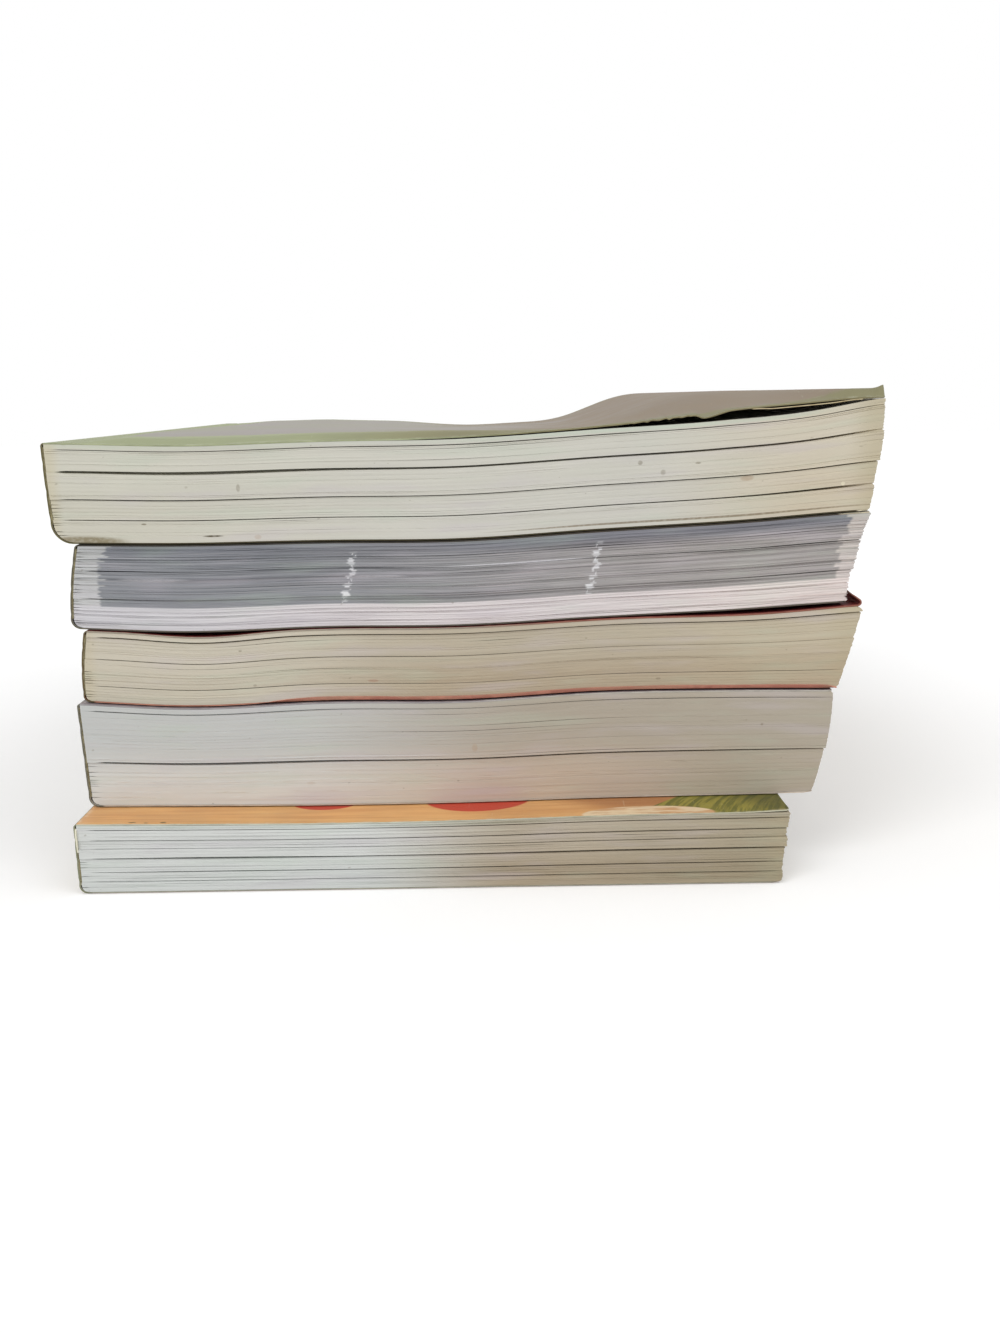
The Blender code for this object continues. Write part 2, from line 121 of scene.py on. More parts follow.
# How finely the pieces are cut up
BLOCK_COLUMNS = 140
BLOCK_ROWS = 44
LEAF_BUNDLE = 0.34 * MM
CARD_COLUMNS = 110
TOP_COLUMNS = 290
CARD_ROWS = 48
RIM_ROWS = (0.0, 0.35, 0.8, 1.4, 2.2, 3.2, 4.5)
SPINE_STEPS = 14
FOLD_STEPS = 5
FOOT_STEPS = 8

# Widths of the splits between bundles of leaves
LEAF_SPLIT = 0.22 * MM
NARROW_SPLIT = 0.3 * MM
SPLIT = 0.4 * MM
WIDE_SPLIT = 0.6 * MM


@dataclass
class Book:
    """One book, in the terms of the CAD. Its sizes are given in millimetres and kept in metres.

    wave and head_wave give the swell as shares, at even places from the spine to the fore edge. splits are
    the gaps between bundles of leaves: place up the block, width, and how open they are from spine to fore
    edge. dips are places where the front cover has sunk away from the book above: middle, half width, reach
    from the tail edge and depth, in millimetres. hairlines and ticks count the short gaps between leaves,
    ticks being those that start at the spine, up to the share tick_top of the thickness. fore_corners are
    the rounding of the block's lower and upper fore edges in millimetres.
    """
    name: str
    width: float
    height: float
    thickness: float
    swell: float
    jut: float
    spine_in: float
    spine_lean: float
    spine_bow: float
    spine_corner: float
    fore_lean: float
    fore_bow: float
    wave: tuple
    splits: tuple
    seed: int
    head_wave: tuple = None
    dips: tuple = ()
    leaf_step: float = 0.03
    hairlines: int = 9
    ticks: int = 9
    tick_top: float = 0.45
    corner_lift: float = 0.0
    turned_up_corner: bool = False
    fore_corners: tuple = (0.0, 0.0)

    def __post_init__(self):
        for size in ("width", "height", "thickness", "swell", "jut", "spine_in", "spine_lean", "spine_bow",
                     "spine_corner", "fore_lean", "fore_bow", "leaf_step", "corner_lift"):
            setattr(self, size, getattr(self, size) * MM)
        self.tail_y = -self.jut
        self.head_y = self.height - self.jut
        self.spine_x = self.spine_in


# The bottom book comes first
BOOKS = (
    Book("book_1", width=182.0, height=238.0, thickness=18.4, swell=0.9, jut=18.0, spine_in=7.6,
         spine_lean=-0.7, spine_bow=0.0, spine_corner=2.0, fore_lean=2.0, fore_bow=0.0,
         wave=(-0.44, -0.78, -0.56, 0.22, 0.56, 1.0),
         splits=((0.15, LEAF_SPLIT, (0.5, 0.9, 0.8, 0.9, 1.0, 1.0)),
                 (0.29, NARROW_SPLIT, (0.4, 1.0, 0.9, 1.0, 1.0, 0.9)),
                 (0.50, WIDE_SPLIT, (0.5, 1.1, 0.7, 0.8, 0.9, 0.8)),
                 (0.645, LEAF_SPLIT, (0.6, 0.5, 0.7, 0.8, 0.8, 0.6)),
                 (0.77, NARROW_SPLIT, (0.9, 0.8, 0.9, 1.0, 1.0, 1.0)),
                 (0.93, NARROW_SPLIT, (0.8, 0.8, 0.6, 0.9, 0.7, 0.9))),
         seed=11, leaf_step=0.04, hairlines=12, ticks=5, corner_lift=0.3,
         fore_corners=(0.9, 0.3)),
    Book("book_2", width=195.6, height=254.0, thickness=28.4, swell=1.6, jut=1.4, spine_in=6.5,
         spine_lean=-1.9, spine_bow=0.0, spine_corner=2.4, fore_lean=4.8, fore_bow=1.0,
         wave=(-1.0, -0.13, -0.44, 0.19, 0.06, -0.5),
         splits=((0.43, WIDE_SPLIT, (0.9, 1.35, 0.9, 0.8, 0.75, 0.6)),
                 (0.945, NARROW_SPLIT, (0.9, 0.8, 0.5, 0.3, 0.6, 0.5))),
         seed=22, leaf_step=0.02, hairlines=7, fore_corners=(0.9, 0.4)),
    Book("book_3", width=201.5, height=262.0, thickness=19.2, swell=3.9, jut=0.0, spine_in=7.7,
         spine_lean=1.0, spine_bow=-0.6, spine_corner=1.6, fore_lean=6.9, fore_bow=0.2,
         wave=(0.10, 0.03, 0.08, 0.05, 0.38, 1.0),
         splits=((0.22, NARROW_SPLIT, (0.5, 0.7, 0.45, 0.35, 0.45, 0.35)),
                 (0.61, LEAF_SPLIT, (0.8, 0.9, 0.7, 0.5, 0.3, 0.3)),
                 (0.93, NARROW_SPLIT, (1.3, 1.4, 1.0, 0.8, 1.0, 1.0))),
         seed=33, dips=((40.0, 24.0, 45.0, 0.85), (190.0, 46.0, 60.0, 0.9)), turned_up_corner=True,
         fore_corners=(0.3, 2.4)),
    Book("book_4", width=205.1, height=267.0, thickness=22.3, swell=1.4, jut=-0.8, spine_in=5.9,
         spine_lean=2.2, spine_bow=-0.6, spine_corner=2.6, fore_lean=5.7, fore_bow=-0.9,
         wave=(0.71, 0.29, 0.29, 0.5, 0.71, 1.0),
         splits=((0.36, NARROW_SPLIT, (0.9, 0.3, 0.2, 0.2, 0.3, 0.8)),
                 (0.70, NARROW_SPLIT, (1.2, 0.4, 0.3, 0.3, 0.6, 1.0))),
         seed=44, leaf_step=0.08, hairlines=18, ticks=16, tick_top=0.95),
    Book("book_5", width=214.2, height=279.0, thickness=26.3, swell=3.6, jut=0.0, spine_in=0.9,
         spine_lean=-2.0, spine_bow=-0.2, spine_corner=5.0, fore_lean=3.7, fore_bow=0.6,
         wave=(-0.14, -0.03, 0.06, 0.06, 0.17, 0.92), head_wave=(0.11, 0.06, -0.5, -0.33, 0.44, 1.0),
         splits=((0.23, SPLIT, (0.6, 0.7, 0.6, 0.7, 0.8, 1.6)),
                 (0.44, SPLIT, (0.7, 0.8, 0.6, 0.6, 0.7, 0.8)),
                 (0.72, WIDE_SPLIT, (1.1, 1.6, 1.0, 0.9, 0.9, 0.8)),
                 (0.945, LEAF_SPLIT, (0.9, 0.9, 1.0, 1.1, 0.9, 0.7))),
         seed=55, dips=((201.0, 26.0, 60.0, 1.15),)),
)
TOP = BOOKS[-1]
SWELL_WIDTH = TOP.spine_x + TOP.width
SWELL_HEIGHT = TOP.height


# Forms that the CAD and the looks share

def smooth_step(share):
    """Ease from 0 to 1, with both ends level."""
    share = np.clip(share, 0.0, 1.0)
    return share * share * (3.0 - 2.0 * share)


def curve_through(values, share):
    """A smooth curve through values at even places, read at shares of the way along them."""
    values = np.asarray(values, float)
    last = len(values) - 1
    position = np.clip(np.asarray(share, float), 0.0, 1.0) * last
    index = np.minimum(position.astype(int), last - 1)
    t = position - index
    start, end = values[index], values[index + 1]
    slope_in = (end - values[np.maximum(index - 1, 0)]) / 2.0
    slope_out = (values[np.minimum(index + 2, last)] - start) / 2.0
    return (start + slope_in * t
            + (3.0 * (end - start) - 2.0 * slope_in - slope_out) * t ** 2
            + (slope_in + slope_out - 2.0 * (end - start)) * t ** 3)


def swell_of(book, x, y):
    """How much thicker a book is at x, y than at its spine."""
    across = x / SWELL_WIDTH
    inward = np.clip(y / SWELL_HEIGHT, 0.0, 1.0)
    at_tail = curve_through((0.0, *book.wave), across)
    if book.head_wave is None:
        at_head = at_tail * SWELL_KEPT
    else:
        at_head = curve_through((0.0, *book.head_wave), across)
    return book.swell * (at_tail + (at_head - at_tail) * inward)


def level_height(level, x, y):
    """Height of the face between a book and the next one up: level 1 is on the first book, 0 is the table."""
    return sum((book.thickness + swell_of(book, x, y) for book in BOOKS[:level]), np.zeros(np.shape(x)))


def cover_bottom(book, x, y):
    """Height of the outer face of a book's back cover."""
    level = BOOKS.index(book)
    return level_height(level, x, y) + (CLEARANCE if level else 0.0)


def cover_top(book, x, y):
    """Height of the outer face of a book's front cover where it lies on the pages."""
    height = level_height(BOOKS.index(book) + 1, x, y)
    for middle, half_width, reach, depth in book.dips:
        from_middle = np.hypot((x - middle * MM) / (half_width * MM), (y - book.tail_y) / (reach * MM))
        height = height - depth * MM * (1.0 - smooth_step(from_middle))
    return height


def leaning_line(lean, bow, share):
    """How far a leaning and bowed edge stands off its middle, at a share of its height."""
    return lean * (share - 0.5) + bow * 4.0 * share * (1.0 - share)


def spine_line(book, share):
    """x of the spine's outer face at a share of the thickness, without the round fold at its foot."""
    return book.spine_x + leaning_line(book.spine_lean, book.spine_bow, share)


def fore_line(book, share):
    """x of the trimmed fore edge at a share of the thickness."""
    return book.spine_x + book.width + leaning_line(book.fore_lean, book.fore_bow, share)


def set_in_by_corner(radius, height):
    """How far a round corner stands in at a height above the face that it runs into."""
    below = np.clip(radius - height, 0.0, radius)
    return radius - np.sqrt(radius ** 2 - below ** 2)


CREASE_X = float(spine_line(TOP, 1.0)) + GLUED_STRIP
CREASE_Z = float(cover_top(TOP, CREASE_X, TOP.tail_y)) + CREASE_ABOVE_CARD
CREASE = Vector((CREASE_X, TOP.tail_y + TOP.height / 2.0, CREASE_Z))
HINGE = Vector(frame["joints"][0]["pos_m"])
STACK_ORIGIN = np.array(HINGE - CREASE)
DENT_X = float(fore_line(TOP, 1.0)) - DENT_FROM_FORE


# Meshes

def crowded(steps, crowding=0.6):
    """Places from 0 to 1 that stand closer together towards both ends."""
    even = np.linspace(0.0, 1.0, steps + 1)
    return even - crowding * np.sin(2.0 * math.pi * even) / (2.0 * math.pi)


def row_at(y, x, z):
    """Points at one y, from their x and z."""
    return np.stack((x, np.full(x.shape, y), z), -1)


def grid_quads(index):
    """Quads of a grid of vertex numbers, facing the side from which the second axis is left of the first."""
    return np.stack((index[:-1, :-1], index[1:, :-1], index[1:, 1:], index[:-1, 1:]), -1).reshape(-1, 4)


def add_piece(name, points, patches, materials, attributes, sharp_from=35.0):
    """A mesh object from points in stack coordinates and patches of quads, one patch for each material."""
    quads = np.concatenate(patches)
    mesh = bpy.data.meshes.new(name)
    mesh.from_pydata((points + STACK_ORIGIN).tolist(), [], quads.tolist())
    slots = np.concatenate([np.full(len(patch), slot) for slot, patch in enumerate(patches)])
    mesh.polygons.foreach_set("material_index", slots.astype(np.int32))
    mesh.polygons.foreach_set("use_smooth", np.ones(len(quads), bool))
    for material in materials:
        mesh.materials.append(material)
    for attribute, values in attributes.items():
        kind, field = ("FLOAT_VECTOR", "vector") if values.ndim == 2 else ("FLOAT", "value")
        data = mesh.attributes.new(attribute, kind, "POINT").data
        data.foreach_set(field, values.astype(np.float32).ravel())
    mesh.set_sharp_from_angle(angle=math.radians(sharp_from))
    mesh.update()
    piece = bpy.data.objects.new(name, mesh)
    bpy.context.scene.collection.objects.link(piece)
    return piece


# Page blocks

PAGES_BELOW_CARD = CARD + HAIR
PAGES_FROM_SPINE = CARD + GLUE_FILM + 2.0 * HAIR

# The gaps between leaves: their levels from lip to bottom, how far they press the leaves beside them together
# and how they close by the spine and grow shallow by the fore corners
SPLIT_LIP = 0.01 * MM
SPLIT_LEVELS = ((-1.0, 0.0), (-0.55, 0.7), (0.0, 1.0), (0.55, 0.7), (1.0, 0.0))
SPLIT_SQUEEZE = 1.3 * MM
HAIRLINE_SQUEEZE = 0.3 * MM
SPLIT_FROM_SPINE = 1.5 * MM
SPLIT_EASE = 3.5 * MM
CORNER_DEPTH = 0.12
CORNER_DEPTH_REACH = 12.0 * MM
CLOSED_BY_COVERS = 0.8 * MM

# How uneven the trimmed edges are: even by the spine and most uneven at the fore edge
PRESSED_BY_SPINE = 0.6 * MM
FORE_RAGGEDNESS = 1.6
LEAF_WAVES = (0.31, 0.083, 0.029)
LEAF_WAVE_SIZES = np.array((1.0, 0.7, 0.5))

# How unevenly a split opens along the edges, and the ranges of what is drawn at random for the short gaps. A
# tick starts at the spine and a hairline anywhere, and both keep clear of other gaps
SPLIT_VARIES = 0.3
SPLIT_WAVES = 8.0
SPLIT_OPENNESS = (0.05, 1.6)
CLEAR_OF_GAPS = 1.1 * MM
LESS_AT_EACH_TRY = 0.97
TICK_FROM = 0.04
TICK_START = 0.8 * MM
TICK_EASES = (1.4 * MM, 2.8 * MM)
TICK_WIDTHS = (0.12 * MM, 0.2 * MM)
HAIRLINE_SHARES = (0.03, 0.97)
HAIRLINE_MIDDLES = (0.02, 0.78)
HAIRLINE_REACHES = (6.0 * MM, 40.0 * MM)
HAIRLINE_WIDTHS = (0.06 * MM, 0.15 * MM)
SHORT_GAP_DEPTHS = (0.5 * MM, 1.0 * MM)


@dataclass
class Gap:
    """A gap between leaves: place up the block, half width at each place round it, depth and squeeze.

    The leaves beside an open gap are pressed together, over a distance called squeeze.
    """
    share: float
    half: np.ndarray
    depth: np.ndarray
    squeeze: float


def block_surface(book, across, along, share, inset, shift):
    """Points of the page block from shares of the way across, along and up it, as in the CAD."""
    spine = spine_line(book, share) + PAGES_FROM_SPINE
    radius = max(book.spine_corner - PAGES_BELOW_CARD, 0.0)
    spine = spine + set_in_by_corner(radius, share * book.thickness)
    fore = fore_line(book, share) - inset + shift
    foot, top = book.fore_corners
    fore = fore - set_in_by_corner(foot * MM + HAIR, share * book.thickness)
    fore = fore - set_in_by_corner(top * MM + HAIR, (1.0 - share) * book.thickness)
    tail = book.tail_y + inset - shift
    head = book.head_y - inset - shift
    x = spine + (fore - spine) * across
    y = tail + (head - tail) * along
    low = cover_bottom(book, x, y) + PAGES_BELOW_CARD
    high = cover_top(book, x, y) - PAGES_BELOW_CARD
    return np.stack((x, y, low + (high - low) * share), -1)


def block_gaps(book, rng, walk, across, along):
    """The splits between bundles of leaves, and the short hairlines and ticks where single leaves part."""
    open_spine = smooth_step((across * book.width - SPLIT_FROM_SPINE) / SPLIT_EASE)
    from_fore = smooth_step((1.0 - across) * book.width / CORNER_DEPTH_REACH)
    shallow = CORNER_DEPTH + (1.0 - CORNER_DEPTH) * from_fore
    gaps = []
    for share, opening, open_along in book.splits:
        phase = rng.uniform(0.0, 2.0 * math.pi)
        varied = 1.0 + SPLIT_VARIES * (np.sin(SPLIT_WAVES * along + phase) - math.sin(phase))
        openness = np.clip(curve_through(open_along, across) * varied, *SPLIT_OPENNESS) * open_spine
        depth = SPLIT_DEPTH * np.minimum(openness, 1.0) * shallow
        gaps.append(Gap(share, 0.5 * opening * openness, depth, SPLIT_SQUEEZE))
    perimeter = 2.0 * (book.width + book.height)
    clear = CLEAR_OF_GAPS / book.thickness
    last_tick = len(book.splits) + book.ticks
    while len(gaps) < last_tick + book.hairlines:
        is_tick = len(gaps) < last_tick
        share = rng.uniform(TICK_FROM, book.tick_top) if is_tick else rng.uniform(*HAIRLINE_SHARES)
        if min(abs(share - gap.share) for gap in gaps) < clear:
            clear *= LESS_AT_EACH_TRY
            continue
        if is_tick:
            window = 1.0 - smooth_step((walk - TICK_START) / rng.uniform(*TICK_EASES))
            width = rng.uniform(*TICK_WIDTHS)
        else:
            middle = rng.uniform(*HAIRLINE_MIDDLES) * perimeter
            window = 1.0 - smooth_step(np.abs(walk - middle) / rng.uniform(*HAIRLINE_REACHES))
            width = rng.uniform(*HAIRLINE_WIDTHS)
        depth = rng.uniform(*SHORT_GAP_DEPTHS) * window * shallow
        gaps.append(Gap(share, 0.5 * width * window, depth, HAIRLINE_SQUEEZE))
    return sorted(gaps, key=lambda gap: gap.share)


def leaf_levels(book, gaps):
    """Base share, number of the gap it belongs to, side of the gap and depth in it, for each outline."""
    levels = []
    edges = [0.0] + [gap.share for gap in gaps] + [1.0]
    for number, (low, high) in enumerate(zip(edges, edges[1:])):
        steps = max(2, round((high - low) * book.thickness / LEAF_BUNDLE))
        first = 0 if number == 0 else 1
        last = steps + 1 if number == len(gaps) else steps
        levels += [(low + (high - low) * step / steps, -1, 0.0, 0.0) for step in range(first, last)]
        if number < len(gaps):
            lip = SPLIT_LIP / book.thickness
            depths = SPLIT_LEVELS if gaps[number].squeeze == SPLIT_SQUEEZE else SPLIT_LEVELS[::2]
            levels += [(high + side * lip, number, side, depth) for side, depth in depths]
    return levels


def wander(rng, places, count, wave_lengths, amplitudes):
    """For each of count outlines, a smooth wandering of its own along the places."""
    drift = np.zeros((count, len(places)))
    for wave_length, amplitude in zip(wave_lengths, amplitudes):
        phase = rng.uniform(0.0, 2.0 * math.pi, (count, 1))
        size = rng.normal(0.0, amplitude, (count, 1))
        drift += size * np.sin(2.0 * math.pi * places / wave_length + phase)
    return drift


def ring_places(book, columns, rows):
    """Shares across and along, and the length walked, at each place round a block."""
    across = np.concatenate((columns[:-1], np.ones(BLOCK_ROWS), columns[:0:-1], np.zeros(BLOCK_ROWS)))
    along = np.concatenate((np.zeros(BLOCK_COLUMNS), rows[:-1], np.ones(BLOCK_COLUMNS), rows[:0:-1]))
    walk = np.concatenate((columns[:-1] * book.width, book.width + rows[:-1] * book.height,
                           book.width + book.height + (1.0 - columns[:0:-1]) * book.width,
                           2.0 * book.width + book.height + (1.0 - rows[:0:-1]) * book.height))
    return across, along, walk


def part_leaves(book, gaps, levels):
    """Share up the block and inset of each outline at each place, as the gaps push the leaves aside."""
    base, own, side, depth = levels.T
    share = np.repeat(base[:, None], len(gaps[0].half), 1)
    inset = np.zeros(share.shape)
    held = np.minimum(1.0, np.minimum(base, 1.0 - base) * book.thickness / CLOSED_BY_COVERS)
    for number, gap in enumerate(gaps):
        away = base - gap.share
        push = np.sign(away) * np.exp(-np.abs(away) * book.thickness / gap.squeeze)
        push = np.where(own == number, side, push) * held
        share += push[:, None] * gap.half / book.thickness
        inset += np.where(own == number, depth, 0.0)[:, None] * gap.depth
    return share, inset


def ragged_leaves(book, rng, across, walk, count):
    """How far each bundle of leaves stands in from the trimmed edges, most of all at the fore edge."""
    jitter = wander(rng, walk, count, LEAF_WAVES, LEAF_WAVE_SIZES * book.leaf_step)
    jitter += rng.normal(0.0, book.leaf_step, (count, 1))
    by_spine = smooth_step(across * book.width / PRESSED_BY_SPINE)
    return jitter * by_spine * np.where(across < 1.0, 1.0, FORE_RAGGEDNESS)


def face_quads(first_inner, first_ring):
    """Quads of the first or the last leaf, from its inner points and the outline that borders it."""
    face = np.empty((BLOCK_COLUMNS + 1, BLOCK_ROWS + 1), int)
    inner = face[1:-1, 1:-1]
    inner[:] = first_inner + np.arange(inner.size).reshape(inner.shape)
    face[:-1, 0] = first_ring + np.arange(BLOCK_COLUMNS)
    face[-1, :-1] = first_ring + BLOCK_COLUMNS + np.arange(BLOCK_ROWS)
    face[:0:-1, -1] = first_ring + BLOCK_COLUMNS + BLOCK_ROWS + np.arange(BLOCK_COLUMNS)
    face[0, :0:-1] = first_ring + 2 * BLOCK_COLUMNS + BLOCK_ROWS + np.arange(BLOCK_ROWS)
    return grid_quads(face)


def add_page_block(book, edge_material, face_material):
    """The leaves of one book: trimmed edges in hundreds of bundles, with the gaps between them."""
    rng = np.random.default_rng(book.seed)
    columns, rows = crowded(BLOCK_COLUMNS), crowded(BLOCK_ROWS, crowding=0.4)
    across, along, walk = ring_places(book, columns, rows)
    gaps = block_gaps(book, rng, walk, across, along)
    levels = np.array(leaf_levels(book, gaps))
    share, inset = part_leaves(book, gaps, levels)
    inset += ragged_leaves(book, rng, across, walk, len(levels))
    bundle = np.searchsorted([split[0] for split in book.splits], levels[:, 0])
    shift = BUNDLE_SHIFT * np.sin(BUNDLE_TURN * (bundle + len(book.splits)))[:, None]
    sides = block_surface(book, across, along, share, inset, shift)
    inner_across, inner_along = np.meshgrid(columns[1:-1], rows[1:-1], indexing="ij")
    faces = [block_surface(book, inner_across, inner_along, np.full(inner_across.shape, end), 0.0, 0.0)
             for end in (0.0, 1.0)]
    points = np.concatenate([part.reshape(-1, 3) for part in (sides, *faces)])
    index = np.arange(share.size).reshape(share.shape)
    around = np.concatenate((index, index[:, :1]), 1)
    first_face = face_quads(share.size, 0)[:, ::-1]
    last_face = face_quads(share.size + inner_across.size, index[-1, 0])
    height = np.concatenate((share.ravel() * book.thickness, np.zeros(inner_across.size),
                             np.full(inner_across.size, book.thickness)))
    page = np.column_stack((points[:, 0] - book.spine_x, points[:, 1] - book.tail_y, height)) / MM
    return add_piece(book.name + "_leaves", points,
                     (grid_quads(around.T), np.concatenate((first_face, last_face))),
                     (edge_material, face_material), {"page": page})


# Covers

# Reading creases run along the spine, one in so many of its steps
SPINE_CREASE = 0.12 * MM
CREASE_EVERY = 5
FIRST_CREASE = 2
CORNER_ROUNDING = 1.2 * MM
CORNER_LIFT_REACH = 13.0 * MM
FRONT, SPINE, BACK = 0.0, 1.0, 2.0
CARD_WAVES = (0.061, 0.019, 0.007)
CARD_WAVE_SIZES = (0.056 * MM, 0.035 * MM, 0.021 * MM)
EVEN_BY_CREASE = 3.0 * MM
STRIP_STEPS = 8
WRAP_STEPS = FOLD_STEPS + SPINE_STEPS + FOOT_STEPS


def card_rows(book):
    """y of the rows of a cover, closer together by the tail and head edges."""
    rim = np.array(RIM_ROWS) * MM
    middle = rim[-1] + (book.height - 2.0 * rim[-1]) * crowded(CARD_ROWS, crowding=0.4)
    return book.tail_y + np.concatenate((rim[:-1], middle, (book.height - rim[:-1])[::-1]))


def front_line(book, y, start):
    """Outer face of the front cover at y, from start by the fore edge to the beginning of the fold."""
    fold = float(spine_line(book, 1.0)) + FOLD_RADIUS
    x = start + (fold - start) * crowded(CARD_COLUMNS, crowding=0.5)
    from_corner = np.hypot(start - x, y - book.tail_y)
    lift = book.corner_lift * (1.0 - smooth_step(from_corner / CORNER_LIFT_REACH))
    return row_at(y, x, cover_top(book, x, y) + lift)


def spine_wrap_line(book, y):
    """Outer face at y from the fold at the front cover, down the spine and round to the back cover."""
    x = np.array(book.spine_x)
    low = float(cover_bottom(book, x, y))
    high = float(cover_top(book, x, y))
    angles = np.linspace(0.5 * math.pi, math.pi, FOLD_STEPS + 1)[1:]
    fold_z = high - FOLD_RADIUS + FOLD_RADIUS * np.sin(angles)
    fold_x = spine_line(book, (fold_z - low) / (high - low)) + FOLD_RADIUS * (1.0 + np.cos(angles))
    z = np.linspace(high - FOLD_RADIUS, low + book.spine_corner, SPINE_STEPS + 1)[1:]
    creased = np.arange(SPINE_STEPS) % CREASE_EVERY == FIRST_CREASE
    spine_x = spine_line(book, (z - low) / (high - low)) + np.where(creased, SPINE_CREASE, 0.0)
    turn = np.linspace(0.0, 0.5 * math.pi, FOOT_STEPS + 1)[1:]
    rise = book.spine_corner * (1.0 - np.sin(turn))
    foot_x = spine_line(book, rise / (high - low)) + set_in_by_corner(book.spine_corner, rise)
    foot_z = cover_bottom(book, foot_x, y) + rise
    return row_at(y, np.concatenate((fold_x, spine_x, foot_x)), np.concatenate((fold_z, z, foot_z)))


def back_line(book, y):
    """Outer face of the back cover at y, from the round fold to the fore edge."""
    start = float(spine_line(book, 0.0)) + book.spine_corner
    x = start + (float(fore_line(book, 0.0)) - start) * crowded(CARD_COLUMNS // 2, crowding=0.3)[1:]
    return row_at(y, x, cover_bottom(book, x, y))


def lip_line(book, y, start):
    """Outer face of the turned-up lip at y, from its tip to where it leaves the cover."""
    turn = LIP_TURN * (1.0 - float(smooth_step((y - book.tail_y) / LIP_REACH)))
    direction = turn * smooth_step((np.arange(LIP_STEPS) + 0.5) / LIP_STEPS / LIP_FOLD_SHARE)
    step = LIP_LENGTH / LIP_STEPS
    x = start + np.cumsum(np.cos(direction)) * step
    z = float(cover_top(book, np.array(start), y)) + np.cumsum(np.sin(direction)) * step
    return row_at(y, x, z)[::-1]


def inward_normals(outer):
    """Unit vectors that point into the card from its outer face, for a grid of rows from tail to head."""
    along_row = np.gradient(outer, axis=1)
    along_book = np.gradient(outer, axis=0)
    normals = np.cross(along_row, along_book)
    return normals / np.linalg.norm(normals, axis=2, keepdims=True)


def sheet_patches(rows, columns):
    """Quads of a sheet whose outer points are followed by its inner ones: outside, inside and rim."""
    over = np.arange(rows * columns).reshape(rows, columns)
    under = over + rows * columns
    rim = np.concatenate((
        np.stack((over[0, :-1], over[0, 1:], under[0, 1:], under[0, :-1]), -1),
        np.stack((over[-1, 1:], over[-1, :-1], under[-1, :-1], under[-1, 1:]), -1),
        np.stack((over[:-1, 0], under[:-1, 0], under[1:, 0], over[1:, 0]), -1),
        np.stack((over[:-1, -1], over[1:, -1], under[1:, -1], under[:-1, -1]), -1)))
    return grid_quads(over), grid_quads(under)[:, ::-1], rim


def wear_ends(book, outer, rounded):
    """Round the corners of a sheet of card and make its tail and head edges a little ragged.

    rounded says whether the first and the last column end at a free corner.
    """
    rng = np.random.default_rng(book.seed + 7)
    rim = RIM_ROWS[-1] * MM
    for end, sign in ((book.tail_y, 1.0), (book.head_y, -1.0)):
        row = outer[0 if sign > 0.0 else -1]
        walk = np.cumsum(np.linalg.norm(np.diff(row, axis=0, prepend=row[:1]), axis=1))
        ragged = np.abs(wander(rng, walk, 1, CARD_WAVES, CARD_WAVE_SIZES)[0])
        for is_free, from_end in zip(rounded, (walk, walk[-1] - walk)):
            if is_free:
                ragged = ragged + set_in_by_corner(CORNER_ROUNDING, from_end)
            else:
                ragged = ragged * smooth_step(from_end / EVEN_BY_CREASE)
        fade = np.clip(1.0 - sign * (outer[:, :, 1] - end) / rim, 0.0, 1.0)
        outer[:, :, 1] += sign * ragged * fade


def add_card(name, book, outer, materials, zone, thickness=CARD):
    """A sheet of card from the rows of its outer face: printed outside, plain inside, with cut edges."""
    rows, columns = outer.shape[:2]
    inner = outer + inward_normals(outer) * thickness
    points = np.concatenate((outer.reshape(-1, 3), inner.reshape(-1, 3)))
    bottom = float(cover_bottom(book, np.array(0.0), book.tail_y))
    place = (points - np.array((book.spine_x, book.tail_y, bottom))) / MM
    from_end = np.minimum(place[:, 1], book.height / MM - place[:, 1])
    return add_piece(name, points, sheet_patches(rows, columns), materials,
                     {"card": place, "zone": np.tile(zone, rows * 2), "from_end": from_end}, sharp_from=50.0)


def turn_up_tail_rim(book, outer, first_column):
    """Bend the worn tail rim of the back cover up in front of the pages."""
    flat, outside, rise = np.array(TURNED_RIM).T * MM
    back = outer[:, first_column:]
    amount = smooth_step((back[:, :, 0] - TURNED_RIM_START) / TURNED_RIM_EASE)
    from_tail = back[:, :, 1] - book.tail_y
    turned_y = np.where(from_tail < flat[-1], np.interp(from_tail, flat, outside), from_tail)
    turned_z = np.interp(from_tail, flat, rise)
    back[:, :, 1] += (turned_y - from_tail) * amount
    back[:, :, 2] += turned_z * amount


def add_cover(book, materials):
    """The folded card of a closed cover: front, spine and back in one piece."""
    outlines = []
    for y in card_rows(book):
        start = float(fore_line(book, 1.0))
        front = []
        if book.turned_up_corner:
            start -= LIP_START_IN
            front.append(lip_line(book, y, start))
        front += [front_line(book, y, start), spine_wrap_line(book, y), back_line(book, y)]
        outlines.append(np.concatenate(front))
    outer = np.array(outlines)
    back = CARD_COLUMNS // 2
    front_count = outer.shape[1] - WRAP_STEPS - back
    zone = np.repeat((FRONT, SPINE, BACK), (front_count, WRAP_STEPS, back))
    wear_ends(book, outer, (True, True))
    if book.turned_up_corner:
        turn_up_tail_rim(book, outer, front_count + WRAP_STEPS)
    return add_card(book.name + "_card", book, outer, materials, zone)


CREASE_DEPTH = 0.12 * MM
CREASE_WIDTH = 0.7 * MM

